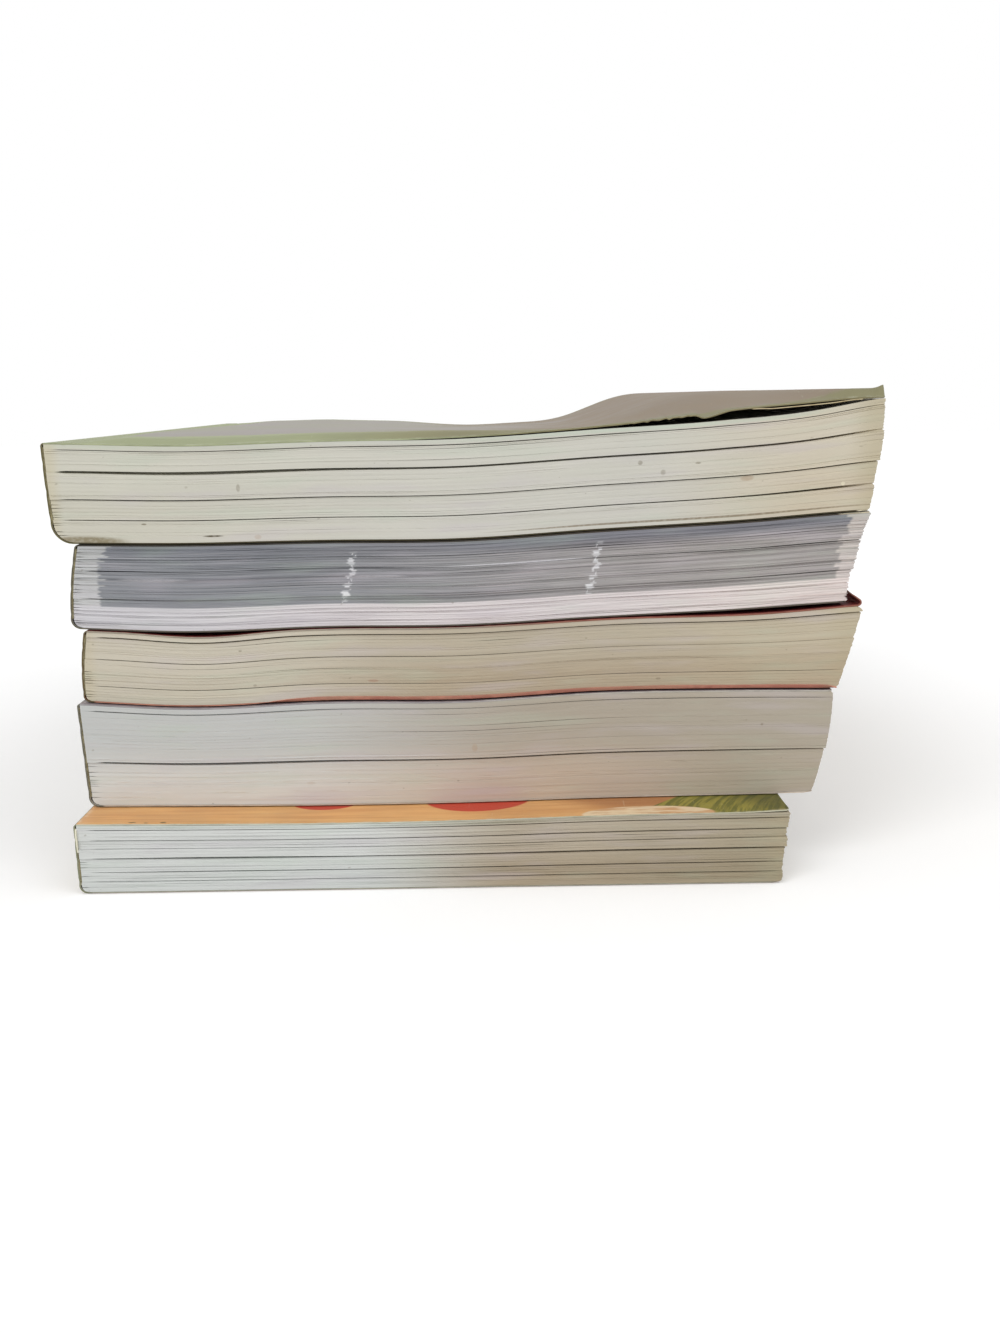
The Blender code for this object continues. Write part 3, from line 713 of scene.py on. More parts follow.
# The tail edge of the top cover droops from the crease to about the middle. The drooping fades in beside the
# crease, fades out by the middle, and fades towards the head, though less by the spine
DROOP_FADES_IN = 18.0 * MM
DROOP_END = 95.0 * MM
DROOP_FADES_OUT = 45.0 * MM
DROOP_FULL = 30.0 * MM
DROOP_FADES_INWARD = 200.0 * MM
DROOP_KEPT_BY_SPINE = 0.43
KEPT_REACH = 90.0 * MM

# Lengths of two waves that make the torn threads along the frayed stretch
THREADS = (0.47 * MM, 0.29 * MM)


def crease_groove(x):
    """Depth of the pressed crease beside the spine of the top book."""
    return CREASE_DEPTH * np.exp(-((x - CREASE_X) / CREASE_WIDTH) ** 2)


def drooping_rim(x, from_tail):
    """How far the top cover stands above its drooping tail edge, over the half of it by the spine."""
    rise = RIM_RISE * smooth_step(from_tail / RIM_REACH) + PUFF_RISE * smooth_step(from_tail / PUFF_REACH)
    kept_at_head = DROOP_KEPT_BY_SPINE * (1.0 - smooth_step(x / KEPT_REACH))
    fade = 1.0 - (1.0 - kept_at_head) * smooth_step((from_tail - DROOP_FULL) / DROOP_FADES_INWARD)
    fades_in = smooth_step((x - CREASE_X) / DROOP_FADES_IN)
    fades_out = smooth_step((x - DROOP_END) / DROOP_FADES_OUT)
    return rise * fade * fades_in * (1.0 - fades_out)


def tail_gap(x, from_tail):
    """Gap between the pages and the tail edge of the top cover, with its torn and frayed stretch."""
    share = (x - TAIL_GAP_START) / (float(fore_line(TOP, 1.0)) - TAIL_GAP_START)
    frayed = 1.0 - smooth_step(np.abs(x - FRAY_MIDDLE) / FRAY_REACH)
    threads = np.sin(x / THREADS[0]) + 0.7 * np.sin(x / THREADS[1] + 1.0)
    side = np.where(x < DENT_X, DENT_STEEP_SIDE, DENT_SLACK_SIDE)
    from_dent = np.hypot((x - DENT_X) / side, from_tail / DENT_REACH)
    dent = DENT_DROP * (1.0 - smooth_step(from_dent))
    return np.maximum(curve_through(TAIL_GAPS, share) * MM + FRAY * threads * frayed, 0.0) - dent


def top_cover_height(x, y):
    """Height of the warped front cover of the top book."""
    from_tail = y - TOP.tail_y
    by_corner = smooth_step((x - CORNER_LIFT_START) / CORNER_LIFT_EASE)
    inward = smooth_step(from_tail / (COVER_LIFT_REACH + (REACH_AT_CORNER - COVER_LIFT_REACH) * by_corner))
    lift = COVER_LIFT * curve_through(COVER_LIFT_WAVE, x / SWELL_WIDTH)
    for middle, half_width, rise in RIDGES:
        lift = lift + rise * MM * np.exp(-((x / MM - middle) / half_width) ** 2)
    warped = level_height(len(BOOKS), x, y) + lift
    at_tail = cover_top(TOP, x, y) + tail_gap(x, from_tail)
    from_corner = np.hypot(float(fore_line(TOP, 1.0)) - x, from_tail - TIP_FROM_TAIL)
    tip = TIP_RISE * (1.0 - smooth_step(from_corner / TIP_REACH))
    return at_tail + (warped - at_tail) * inward + drooping_rim(x, from_tail) + tip - crease_groove(x)


def add_top_cover(materials):
    """The top book's cover: the wrap that stays on the stack, and the warped front cover."""
    wraps, fronts = [], []
    fold = float(spine_line(TOP, 1.0)) + FOLD_RADIUS
    fore = float(fore_line(TOP, 1.0))
    for y in card_rows(TOP):
        x = np.linspace(CREASE_X, fold, STRIP_STEPS + 1)
        strip = row_at(y, x, cover_top(TOP, x, y) - crease_groove(x))
        wraps.append(np.concatenate((strip, spine_wrap_line(TOP, y), back_line(TOP, y))))
        near = CREASE_X + np.linspace(CREASE_BEND, 0.0, STRIP_STEPS + 1)
        x = np.concatenate((fore + (near[0] - fore) * crowded(TOP_COLUMNS, crowding=0.3), near[1:]))
        fronts.append(row_at(y, x, top_cover_height(x, y)))
    wrap_outer, front_outer = np.array(wraps), np.array(fronts)
    wear_ends(TOP, wrap_outer, (False, True))
    wear_ends(TOP, front_outer, (True, False))
    zone = np.repeat((FRONT, SPINE, BACK), (STRIP_STEPS + 1, WRAP_STEPS, CARD_COLUMNS // 2))
    wrap = add_card("book_5_card_wrap", TOP, wrap_outer, materials, zone)
    front = add_card("book_5_card_front", TOP, front_outer, materials, np.full(front_outer.shape[1], FRONT))
    return wrap, front


# The loose ply: its thickness, ends, reach from the tail edge and how far it hangs, parting at one end of its
# tail edge and meeting the card again by the other
PLY = 0.22 * MM
PLY_START = 183.0 * MM
PLY_END = 211.0 * MM
PLY_LENGTH = 25.0 * MM
PLY_DROP = 0.38 * MM
PLY_PARTS = 6.0 * MM
PLY_MEETS_FROM = 203.0 * MM
PLY_MEETS = 8.0 * MM
PLY_COLUMNS = 60
PLY_ROWS = 24
PLY_SET_IN = 0.004


def add_loose_ply(materials):
    """The inner ply of the top cover, which has come away from it along the tail edge by the fore corner."""
    x = np.linspace(PLY_END, PLY_START, PLY_COLUMNS)
    parted = smooth_step((x - PLY_START) / PLY_PARTS) * (1.0 - smooth_step((x - PLY_MEETS_FROM) / PLY_MEETS))
    outlines = []
    for from_tail in PLY_LENGTH * np.linspace(PLY_SET_IN, 1.0, PLY_ROWS):
        y = TOP.tail_y + from_tail
        drop = PLY_DROP * parted * (1.0 - smooth_step(from_tail / PLY_LENGTH))
        outlines.append(row_at(y, x, top_cover_height(x, y) - CARD - HAIR - drop))
    outer = np.array(outlines)
    return add_card("book_5_card_ply", TOP, outer, materials, np.full(len(x), FRONT), thickness=PLY)


# Glue

# Beads stand out from the ends of the glue, and blobs from the first book's, between two shares up the spine
GLUE_STEPS = 18
GLUE_ROWS = 90
GLUE_SET_IN = 0.2 * MM
BEADS = (-0.05 * MM, 0.2 * MM)
BLOBS = (0.3 * MM, 0.9 * MM)
BLOB_SHARES = (0.62, 0.92)


def add_glue(book, material):
    """The glue between the block's spine and the card, short of the ends but for a few beads."""
    rng = np.random.default_rng(book.seed + 3)
    shares = np.linspace(1.0 - (FOLD_RADIUS + GLUE_SET_IN) / book.thickness,
                         (book.spine_corner + GLUE_SET_IN) / book.thickness, GLUE_STEPS + 1)
    bead = rng.uniform(*BEADS, GLUE_STEPS + 1)
    if book is BOOKS[0]:
        blobs = (shares > BLOB_SHARES[0]) & (shares < BLOB_SHARES[1])
        bead = bead + np.where(blobs, rng.uniform(*BLOBS, GLUE_STEPS + 1), 0.0)
    x = spine_line(book, shares) + CARD + HAIR
    outlines = []
    for row in crowded(GLUE_ROWS, crowding=0.5):
        y = book.tail_y + GLUE_SET_IN + (book.height - 2.0 * GLUE_SET_IN) * row
        low = cover_bottom(book, np.array(book.spine_x), y)
        high = cover_top(book, np.array(book.spine_x), y)
        outlines.append(row_at(y, x, low + (high - low) * shares))
    outer = np.array(outlines)
    outer[0, :, 1] -= bead
    outer[-1, :, 1] += bead[::-1]
    inner = outer + np.array((GLUE_FILM, 0.0, 0.0))
    points = np.concatenate((outer.reshape(-1, 3), inner.reshape(-1, 3)))
    place = (points - np.array((book.spine_x, book.tail_y, 0.0))) / MM
    quads = np.concatenate(sheet_patches(*outer.shape[:2]))
    return add_piece(book.name + "_glue", points, (quads,), (material,), {"card": place})


# Materials

BLACK = (0, 0, 0)
PALE_GREY = (212, 212, 212)


def linear_colour(colour):
    """A colour from 0 to 255 as a display shows it, as the linear values that a shader takes."""
    shown = [channel / 255.0 for channel in colour]
    return [part / 12.92 if part <= 0.04045 else ((part + 0.055) / 1.055) ** 2.4 for part in shown] + [1.0]


def between(first, second, share):
    """The plain colour at a share of the way from one to another."""
    return tuple(start + (end - start) * share for start, end in zip(first, second))


class Value:
    """What a node gives out, to reckon with as with a number: each operation adds a Math node."""

    def __init__(self, finish, socket):
        self.finish = finish
        self.socket = socket

    def __add__(self, other):
        return self.finish.maths("ADD", self, other)

    def __sub__(self, other):
        return self.finish.maths("SUBTRACT", self, other)

    def __rsub__(self, other):
        return self.finish.maths("SUBTRACT", other, self)

    def __mul__(self, other):
        return self.finish.maths("MULTIPLY", self, other)

    def __pow__(self, other):
        return self.finish.maths("POWER", self, other)

    def __abs__(self):
        return self.finish.maths("ABSOLUTE", self, 0.0)


class Finish:
    """A Principled material, with short calls that add its nodes.

    Colours are from 0 to 255. Places and heights are in millimetres from the book's own spine, tail and foot.
    """

    def __init__(self, name, roughness, specular):
        self.material = bpy.data.materials.new(name)
        self.material.use_nodes = True
        self.tree = self.material.node_tree
        self.shader = self.tree.nodes["Principled BSDF"]
        self.shader.inputs["Roughness"].default_value = roughness
        self.shader.inputs["Specular IOR Level"].default_value = specular

    def put(self, socket, value):
        """Link a value to a socket, or set the socket to a plain number, colour or vector."""
        if isinstance(value, Value):
            self.tree.links.new(value.socket, socket)
        elif isinstance(value, tuple) and socket.type == "RGBA":
            socket.default_value = linear_colour(value)
        else:
            socket.default_value = value

    def node(self, kind, inputs, output=0, **settings):
        """The output of a new node with these settings and inputs."""
        node = self.tree.nodes.new("ShaderNode" + kind)
        for setting, choice in settings.items():
            setattr(node, setting, choice)
        for socket, value in inputs.items():
            self.put(node.inputs[socket], value)
        return Value(self, node.outputs[output])

    def maths(self, operation, first, second=0.0):
        """Two numbers put through an operation of the Math node."""
        return self.node("Math", {0: first, 1: second}, operation=operation)

    def larger(self, first, second):
        """The larger of two numbers."""
        return self.maths("MAXIMUM", first, second)

    def ramp(self, value, start, end, low=0.0, high=1.0):
        """Smoothly from low where value is start to high where it is end."""
        inputs = {"Value": value, "From Min": start, "From Max": end, "To Min": low, "To Max": high}
        return self.node("MapRange", inputs, interpolation_type="SMOOTHSTEP")

    def fall(self, value, start, end, high=1.0):
        """Smoothly from high where value is start to 0 where it is end."""
        return self.ramp(value, start, end, high, 0.0)

    def band(self, value, start, end, soft):
        """1 where value lies between start and end, with soft edges."""
        return self.ramp(value, start - soft, start + soft) * self.fall(value, end - soft, end + soft)

    def attribute(self, name):
        """The three parts of a vector attribute of the mesh."""
        parts = self.tree.nodes.new("ShaderNodeSeparateXYZ")
        self.put(parts.inputs[0], self.node("Attribute", {}, "Vector", attribute_name=name))
        return tuple(Value(self, part) for part in parts.outputs)

    def number(self, name):
        """A number attribute of the mesh."""
        return self.node("Attribute", {}, "Fac", attribute_name=name)

    def noise(self, parts, scales, detail=2.0, roughness=0.5):
        """Noise from 0 to 1 over parts, each multiplied by its scale."""
        vector = self.node("CombineXYZ", dict(enumerate(part * scale for part, scale in zip(parts, scales))))
        inputs = {"Vector": vector, "Scale": 1.0, "Detail": detail, "Roughness": roughness}
        return self.node("TexNoise", inputs)

    def patches(self, parts, scales, start, end, strength=1.0, detail=2.0, roughness=0.5):
        """Irregular patches or threads: 0 where noise is below start, strength where it is above end."""
        return self.ramp(self.noise(parts, scales, detail, roughness), start, end, 0.0, strength)

    def mix(self, share, first, second):
        """A colour at a share of the way from one to another."""
        return self.node("Mix", {"Factor": share, 6: first, 7: second}, 2, data_type="RGBA")

    def per_leaf(self, height, pitch, offset=0.0):
        """A random number from 0 to 1 that changes from leaf to leaf up the block."""
        leaf = self.maths("FLOOR", height * (1.0 / pitch))
        return self.node("TexWhiteNoise", {"W": leaf + offset}, "Value", noise_dimensions="1D")

    def spot(self, across, up, middle, size):
        """1 inside an oval spot of a size, easing to 0 at its border."""
        first = (across - middle[0]) * (2.0 / size[0])
        second = (up - middle[1]) * (2.0 / size[1])
        return self.fall(first * first + second * second, 0.25, 1.0)

    def shade(self, colour, amount):
        """A colour made lighter or darker by an amount that is 1 where it stays."""
        if isinstance(colour, tuple):
            colour = linear_colour(colour)[:3]
        return self.node("VectorMath", {0: colour, "Scale": amount}, operation="SCALE")

    def done(self, colour, height, relief, strength, roughness=None):
        """Set the colour, the bump and an uneven roughness, and give the material back."""
        bump = self.node("Bump", {"Strength": strength, "Distance": relief, "Height": height})
        self.put(self.shader.inputs["Base Color"], colour)
        self.put(self.shader.inputs["Normal"], bump)
        if roughness is not None:
            self.put(self.shader.inputs["Roughness"], roughness)
        return self.material


@dataclass
class Paper:
    """Colours of trimmed edges from spine to fore edge, in the upper and the lower part of the block.
    Their turn to warmer colours towards the fore edge is partly ageing and partly a painted warm cast of
    light from that side, and the second book's lighter lower colours are painted light, bounced up from the
    cover below.

    turns are the stretches of x over which the first colour goes over to the second and the second to the
    third. lines says how strongly single leaves show, yellowed and browned how far the paper has aged by the
    spine and by the fore edge, the browning partly a painted warm cast of light, and mint_by_fore how green
    the first leaves are by the fore edge, if they are green at all. The stains are dirty places on the tail
    edge, and painted lines of shade where leaves part: x, height, width and height of the spot, then its
    strength and colour.
    """
    upper: tuple
    lower: tuple
    turns: tuple
    lines: float
    yellowed: float = 0.0
    browned_and_warm_lit: float = 0.0
    mint_by_fore: float = None
    inked: bool = False
    stains_and_shade: tuple = ()


DIRT = (118, 108, 88)
BROWN_STAIN = (168, 140, 112)
MINT = (180, 199, 178)
LILAC = (194, 184, 194)
PALE_LEAF = (204, 202, 206)
WARM_LIT_BROWNED_PAPER = (176, 164, 132)
YELLOWED_PAPER = (196, 180, 134)
BROWNED_WIDTH = 9.0

PAPERS = {
    "book_1": Paper(((206, 208, 205), (178, 167, 149), (168, 157, 135)),
                    ((202, 205, 202), (166, 152, 130), (158, 146, 123)), ((70.0, 114.0), (120.0, 180.0)),
                    lines=1.0, browned_and_warm_lit=0.25, mint_by_fore=0.1),
    # the second book's lower colours are lighter than its upper ones: painted light, bounced up from the
    # orange cover below
    "book_2": Paper(((189, 191, 189), (169, 160, 146), (172, 163, 148)),
                    ((207, 207, 203), (188, 174, 158), (173, 162, 145)), ((45.0, 125.0), (120.0, 190.0)),
                    lines=0.4,
                    stains_and_shade=((103.6, 15.4, 1.8, 3.0, 0.35, BROWN_STAIN), (179.5, 19.3, 1.0, 0.8, 0.5, DIRT),
                            (60.0, 6.0, 3.0, 1.2, 0.15, BROWN_STAIN))),
    "book_3": Paper(((198, 191, 175), (182, 172, 153), (190, 179, 157)),
                    ((193, 186, 169), (174, 160, 138), (178, 163, 139)), ((40.0, 98.0), (130.0, 195.0)),
                    lines=0.5, yellowed=0.2, browned_and_warm_lit=0.25,
                    stains_and_shade=((41.2, 15.0, 1.1, 0.8, 0.5, DIRT), (44.8, 4.9, 1.2, 0.9, 0.4, DIRT),
                            (76.0, 5.0, 3.4, 0.9, 0.4, (160, 104, 84)), (151.0, 2.6, 1.6, 0.7, 0.5, DIRT))),
    "book_4": Paper(((193, 194, 194), (204, 200, 200), (208, 200, 194)),
                    ((205, 203, 206), (215, 208, 208), (222, 211, 207)), ((10.0, 110.0), (120.0, 200.0)),
                    lines=1.5, inked=True,
                    stains_and_shade=((117.0, 15.8, 46.0, 0.75, 0.8, PALE_LEAF),
                            (80.0, 13.4, 18.0, 0.9, 0.65, PALE_LEAF),
                            (21.0, 13.5, 22.0, 1.2, 0.45, PALE_LEAF))),
    "book_5": Paper(((201, 199, 186), (200, 198, 188), (202, 194, 176)),
                    ((198, 195, 181), (200, 198, 189), (200, 189, 168)), ((0.0, 110.0), (150.0, 200.0)),
                    lines=0.45, yellowed=0.3, browned_and_warm_lit=0.5, mint_by_fore=0.38,
                    stains_and_shade=((49.4, 14.7, 1.2, 2.6, 0.45, DIRT), (36.0, 15.2, 1.0, 0.8, 0.3, DIRT),
                            (24.6, 5.1, 1.6, 0.6, 0.8, DIRT), (42.4, 1.7, 6.4, 0.6, 1.0, (92, 84, 66)),
                            (54.0, 1.2, 2.2, 1.6, 0.3, BROWN_STAIN),
                            (180.7, 10.8, 4.2, 1.8, 0.5, BROWN_STAIN),
                            (153.1, 16.8, 1.5, 1.5, 0.55, DIRT), (159.0, 13.9, 1.6, 1.8, 0.4, DIRT),
                            (168.0, 15.8, 1.8, 0.6, 0.7, DIRT), (205.5, 6.9, 1.3, 1.1, 0.9, (226, 218, 192)),
                            (9.0, 0.2, 26.0, 3.6, 0.75, (116, 100, 64)),
                            # painted shade: a long thin dark line low on the top book's leaves, for the shade
                            # in a gap between them
                            (166.0, 1.15, 120.0, 0.75, 0.75, (116, 100, 76)))),
}


def along_edge(finish, x, colours, turns):
    """The colour at x between one by the spine, one in the middle and one by the fore edge. The warmer
    colours towards the fore edge are partly a painted warm cast of light.
    """
    colour = finish.mix(finish.ramp(x, *turns[0]), colours[0], colours[1])
    return finish.mix(finish.ramp(x, *turns[1]), colour, colours[2])


def mint_first_leaves(finish, colour, place, thickness, by_fore):
    """The first leaves of a block in a faint green."""
    x, _, height = place
    first_leaves = finish.ramp(height, thickness - 1.15, thickness - 0.8)
    by_x = finish.ramp(x, 90.0, 140.0, 0.18, by_fore) * finish.ramp(x, 192.0, 206.0, 1.0, 0.1)
    return finish.mix(first_leaves * by_x, colour, MINT)


def stained_and_shaded(finish, colour, place, stains_and_shade):
    """A colour with smeared, dirty spots on the tail edge, and painted lines of shade where a spot stands for
    the shade in a gap between leaves.
    """
    x, y, height = place
    tail_side = finish.fall(y, 1.0, 4.0)
    smear = finish.ramp(finish.noise(place, (0.9, 0.9, 1.6)), 0.3, 0.6, 0.7, 1.0)
    for across, up, width, tall, strength, spot_colour in stains_and_shade:
        spot = finish.spot(x, height, (across, up), (width, tall))
        colour = finish.mix(spot * smear * (tail_side * strength), colour, spot_colour)
    return colour


def page_edge_material(book):
    """The trimmed edges of the leaves: fine lines along them, stains and painted lines of shade, yellowing by
    the spine, and colours that are partly painted light, warmer towards the fore edge and lighter low on the
    second book.
    """
    finish = Finish(book.name + "_page_edges", roughness=0.88, specular=0.25)
    paper = PAPERS[book.name]
    width, thickness = book.width / MM, book.thickness / MM
    place = finish.attribute("page")
    x, _, height = place
    # the lower colours take over towards the foot of the block; on the second book they are lighter, as
    # painted bounce light
    colour = finish.mix(finish.fall(height, 0.2 * thickness, 0.7 * thickness),
                        along_edge(finish, x, paper.upper, paper.turns),
                        along_edge(finish, x, paper.lower, paper.turns))
    if paper.inked:
        colour = printed_edge(finish, colour, place, thickness)
    if paper.mint_by_fore is not None:
        colour = mint_first_leaves(finish, colour, place, thickness, paper.mint_by_fore)
    fine = finish.noise(place, (0.013, 0.013, 4.2), 3.0, 0.6)
    bundles = finish.noise(place, (0.006, 0.006, 1.1))
    hairs = finish.patches(place, (0.03, 0.03, 6.5), 0.62, 0.72, detail=1.0)
    lines = (fine - 0.5) * 0.22 + (bundles - 0.5) * 0.14 - hairs * 0.10
    cloud = (finish.noise(place, (0.035, 0.035, 0.12), 3.0) - 0.5) * 0.10
    colour = finish.shade(colour, lines * paper.lines + cloud + 1.0)
    tint = finish.noise(place, (0.03, 0.03, 0.2))
    colour = finish.mix(finish.ramp(tint, 0.52, 0.72, 0.0, 0.22), colour, LILAC)
    colour = finish.mix(finish.ramp(tint, 0.48, 0.30, 0.0, 0.16), colour, MINT)
    # browning by the fore edge, partly ageing and partly a painted warm cast of light
    if paper.browned_and_warm_lit:
        by_fore = finish.ramp(x, width - BROWNED_WIDTH, width, 0.0, paper.browned_and_warm_lit)
        colour = finish.mix(by_fore, colour, WARM_LIT_BROWNED_PAPER)
    if paper.yellowed:
        colour = finish.mix(finish.fall(x, 0.8, 4.5, paper.yellowed), colour, YELLOWED_PAPER)
    colour = stained_and_shaded(finish, colour, place, paper.stains_and_shade)
    specks = finish.patches(place, (0.55, 0.55, 0.8), 0.75, 0.81, 0.35, detail=1.0)
    colour = finish.mix(specks, colour, DIRT)
    return finish.done(colour, fine - hairs * 0.6, 0.06 * MM, 0.8 * min(paper.lines, 1.0))


# The ink on the fourth book's leaves: the share of the thickness that stays white below it, where it starts
# and ends and how its end leans, then the two columns that it has missed and how they lean
INK_BOTTOM = 0.265
INK_START = 6.4
INK_END = 197.7
INK_END_SLOPE = 0.27
GAP_COLUMNS = (69.8, 133.7)
GAP_COLUMN_SLOPE = 0.21


def ink_cover(finish, place, thickness):
    """Shares of the leaves that the ink reaches at the tail, and of their edges that it covers."""
    x, y, height = place
    edge = (finish.noise(place, (0.02, 0.02, 0.5), 1.0) - 0.5) * 0.8 + INK_BOTTOM * thickness
    upper = finish.ramp(height, edge - 0.15, edge + 0.25) * finish.fall(y, 2.0, 5.0)
    long_thread = finish.per_leaf(height, 0.41, 30.0) ** 5.0 * 2.8
    by_top = finish.ramp(height, 0.84 * thickness, 0.98 * thickness, 0.0, 2.6)
    start = finish.per_leaf(height, 0.46) * 0.7 + long_thread + by_top + INK_START
    shortfall = finish.per_leaf(height, 0.9, 60.0) ** 2.0 * 2.4
    end = height * INK_END_SLOPE - shortfall + INK_END
    return upper, finish.ramp(x, start - 0.5, start + 0.4) * finish.fall(x, end - 0.4, end + 0.5) * upper


def ink_colour(finish, place, thickness):
    """Grey, warmer towards the fore edge, with light and dark threads in it, and darker and bluer by the
    cover above as painted shade.
    """
    x, _, height = place
    grey = finish.mix(finish.ramp(x, 40.0, 185.0), (141, 143, 148), (162, 157, 154))
    threads = finish.patches(place, (0.02, 0.02, 4.6), 0.52, 0.70, roughness=0.75)
    grey = finish.mix(threads * finish.ramp(x, 50.0, 150.0, 0.35, 0.75), grey, (196, 191, 192))
    thin = finish.patches(place, (0.03, 0.03, 9.0), 0.60, 0.68, detail=1.0, roughness=0.6)
    grey = finish.mix(thin * finish.ramp(x, 60.0, 130.0, 0.05, 0.55), grey, (214, 203, 205))
    dark = finish.patches(place, (0.015, 0.015, 2.6), 0.54, 0.68, 0.3, roughness=0.7)
    grey = finish.mix(dark, grey, (104, 104, 108))
    # painted shade: the upper leaves darker and bluer under the cover above, more so towards the fore edge
    shade_by_cover = finish.ramp(height, 0.78 * thickness, 0.96 * thickness)
    return finish.mix(shade_by_cover * finish.ramp(x, 70.0, 130.0, 0.2, 0.65), grey, (112, 116, 130))


def printed_edge(finish, colour, place, thickness):
    """Grey ink that runs off the upper leaves at the tail, with white tips and two ragged white columns."""
    x, _, height = place
    upper, ink = ink_cover(finish, place, thickness)
    tip_lines = finish.patches(place, (0.05, 0.05, 4.6), 0.44, 0.60, 0.55, roughness=0.7)
    colour = finish.mix(tip_lines * upper, colour, (146, 145, 142))
    colour = finish.mix(ink, colour, ink_colour(finish, place, thickness))
    wobble = (finish.noise((height,), (0.35,), 1.0) - 0.5) * 2.0
    below_top = finish.fall(height, thickness - 3.0, thickness - 2.0)
    for number, column in enumerate(GAP_COLUMNS):
        shift = (finish.per_leaf(height, 0.8, 90.0 + number) - 0.5) * 1.5
        middle = height * GAP_COLUMN_SLOPE + column + shift + wobble
        reach = finish.per_leaf(height, 0.4, 130.0 + number) * 1.5 - 0.1
        brightness = finish.ramp(finish.per_leaf(height, 0.4, 170.0 + number), 0.0, 1.0, 0.4, 0.95)
        mark = finish.fall(abs(x - middle), reach * 0.5, reach + 0.15) * brightness
        colour = finish.mix(mark * upper * below_top, colour, (224, 224, 226))
    return colour


def page_face_material(book):
    """The first and last leaf of a block: plain paper, a little wavy, and at its borders the fore edge's
    colour, partly browning and partly a painted warm cast of light.
    """
    finish = Finish(book.name + "_page_face", roughness=0.85, specular=0.25)
    spine_side, middle, fore_side = PAPERS[book.name].upper
    width = book.width / MM
    place = finish.attribute("page")
    x, y, _ = place
    cloud = finish.patches(place, (0.02, 0.02, 1.0), 0.35, 0.7, 0.5, detail=4.0)
    colour = finish.mix(cloud, middle, spine_side)
    rim = finish.fall(y, 0.0, BROWNED_WIDTH, 0.5) + finish.ramp(x, width - BROWNED_WIDTH, width, 0.0, 0.5)
    colour = finish.mix(rim, colour, fore_side)
    return finish.done(colour, finish.noise(place, (1.6, 1.6, 1.0), 3.0), 0.03 * MM, 0.5)


@dataclass
class Print:
    """Colours of a cover: its field, border, spine and back, its worn places, inside and cut edges."""
    field: tuple
    border: tuple
    spine: tuple
    back: tuple
    worn: tuple
    inside: tuple
    edge_front: tuple
    edge_front_fore: tuple
    edge_spine: tuple
    edge_back: tuple


PRINTS = {
    "book_1": Print(field=(212, 158, 104), border=(190, 120, 70), spine=(134, 116, 74), back=(186, 132, 88),
                    worn=(222, 205, 176), inside=(206, 200, 186), edge_front=(196, 200, 184),
                    edge_front_fore=(190, 188, 166), edge_spine=(136, 138, 112), edge_back=(172, 172, 156)),
    "book_2": Print(field=(150, 142, 146), border=(128, 116, 120), spine=(118, 114, 104),
                    back=(146, 138, 136), worn=(205, 198, 190), inside=(196, 190, 180),
                    edge_front=(156, 152, 154), edge_front_fore=(182, 178, 168), edge_spine=(112, 110, 96),
                    edge_back=(190, 176, 160)),
    "book_3": Print(field=(150, 64, 60), border=(118, 44, 44), spine=(108, 78, 62), back=(166, 118, 98),
                    worn=(196, 132, 112), inside=(150, 86, 72), edge_front=(164, 156, 142),
                    edge_front_fore=(150, 98, 84), edge_spine=(104, 92, 66), edge_back=(206, 144, 124)),
    # the fourth book's dark front cut edges are partly painted shade: the dark line in the shadow under the
    # top book
    "book_4": Print(field=(92, 88, 86), border=(66, 64, 62), spine=(96, 94, 84), back=(84, 80, 76),
                    worn=(150, 146, 140), inside=(150, 146, 140), edge_front=(86, 82, 76),
                    edge_front_fore=(96, 88, 78), edge_spine=(104, 100, 84), edge_back=(96, 88, 78)),
    # the top book's dark back and back cut edge are partly painted shade, for the shadow between it and the
    # fourth book
    "book_5": Print(field=(163, 157, 153), border=(158, 164, 130), spine=(104, 98, 66), back=(88, 82, 58),
                    worn=(206, 208, 186), inside=(176, 168, 146), edge_front=(162, 168, 134),
                    edge_front_fore=(132, 125, 94), edge_spine=(104, 98, 66), edge_back=(66, 60, 42)),
}


@dataclass
class Border:
    """The border round a cover's field: how soft its inner edge is, and its width at the tail and fore edges.

    line is the distance of its thin line from the fore edge, and line_shade how much lighter the line is.
    """
    soft: float
    tail: float
    fore: float
    line: float
    line_shade: float


BORDER = Border(soft=0.4, tail=8.0, fore=7.0, line=5.6, line_shade=1.25)
TOP_BORDER = Border(soft=1.8, tail=11.5, fore=4.5, line=3.4, line_shade=1.08)
TOP_TAIL_BY_FORE = 5.5
BORDER_AT_SPINE = 19.0
BORDER_AT_HEAD = 9.0
LINE_AT_SPINE = 17.4
LINE_AT_TAIL = 6.6
LINE_AT_HEAD = 7.6
BROWNED_UNEVENLY = 150.0


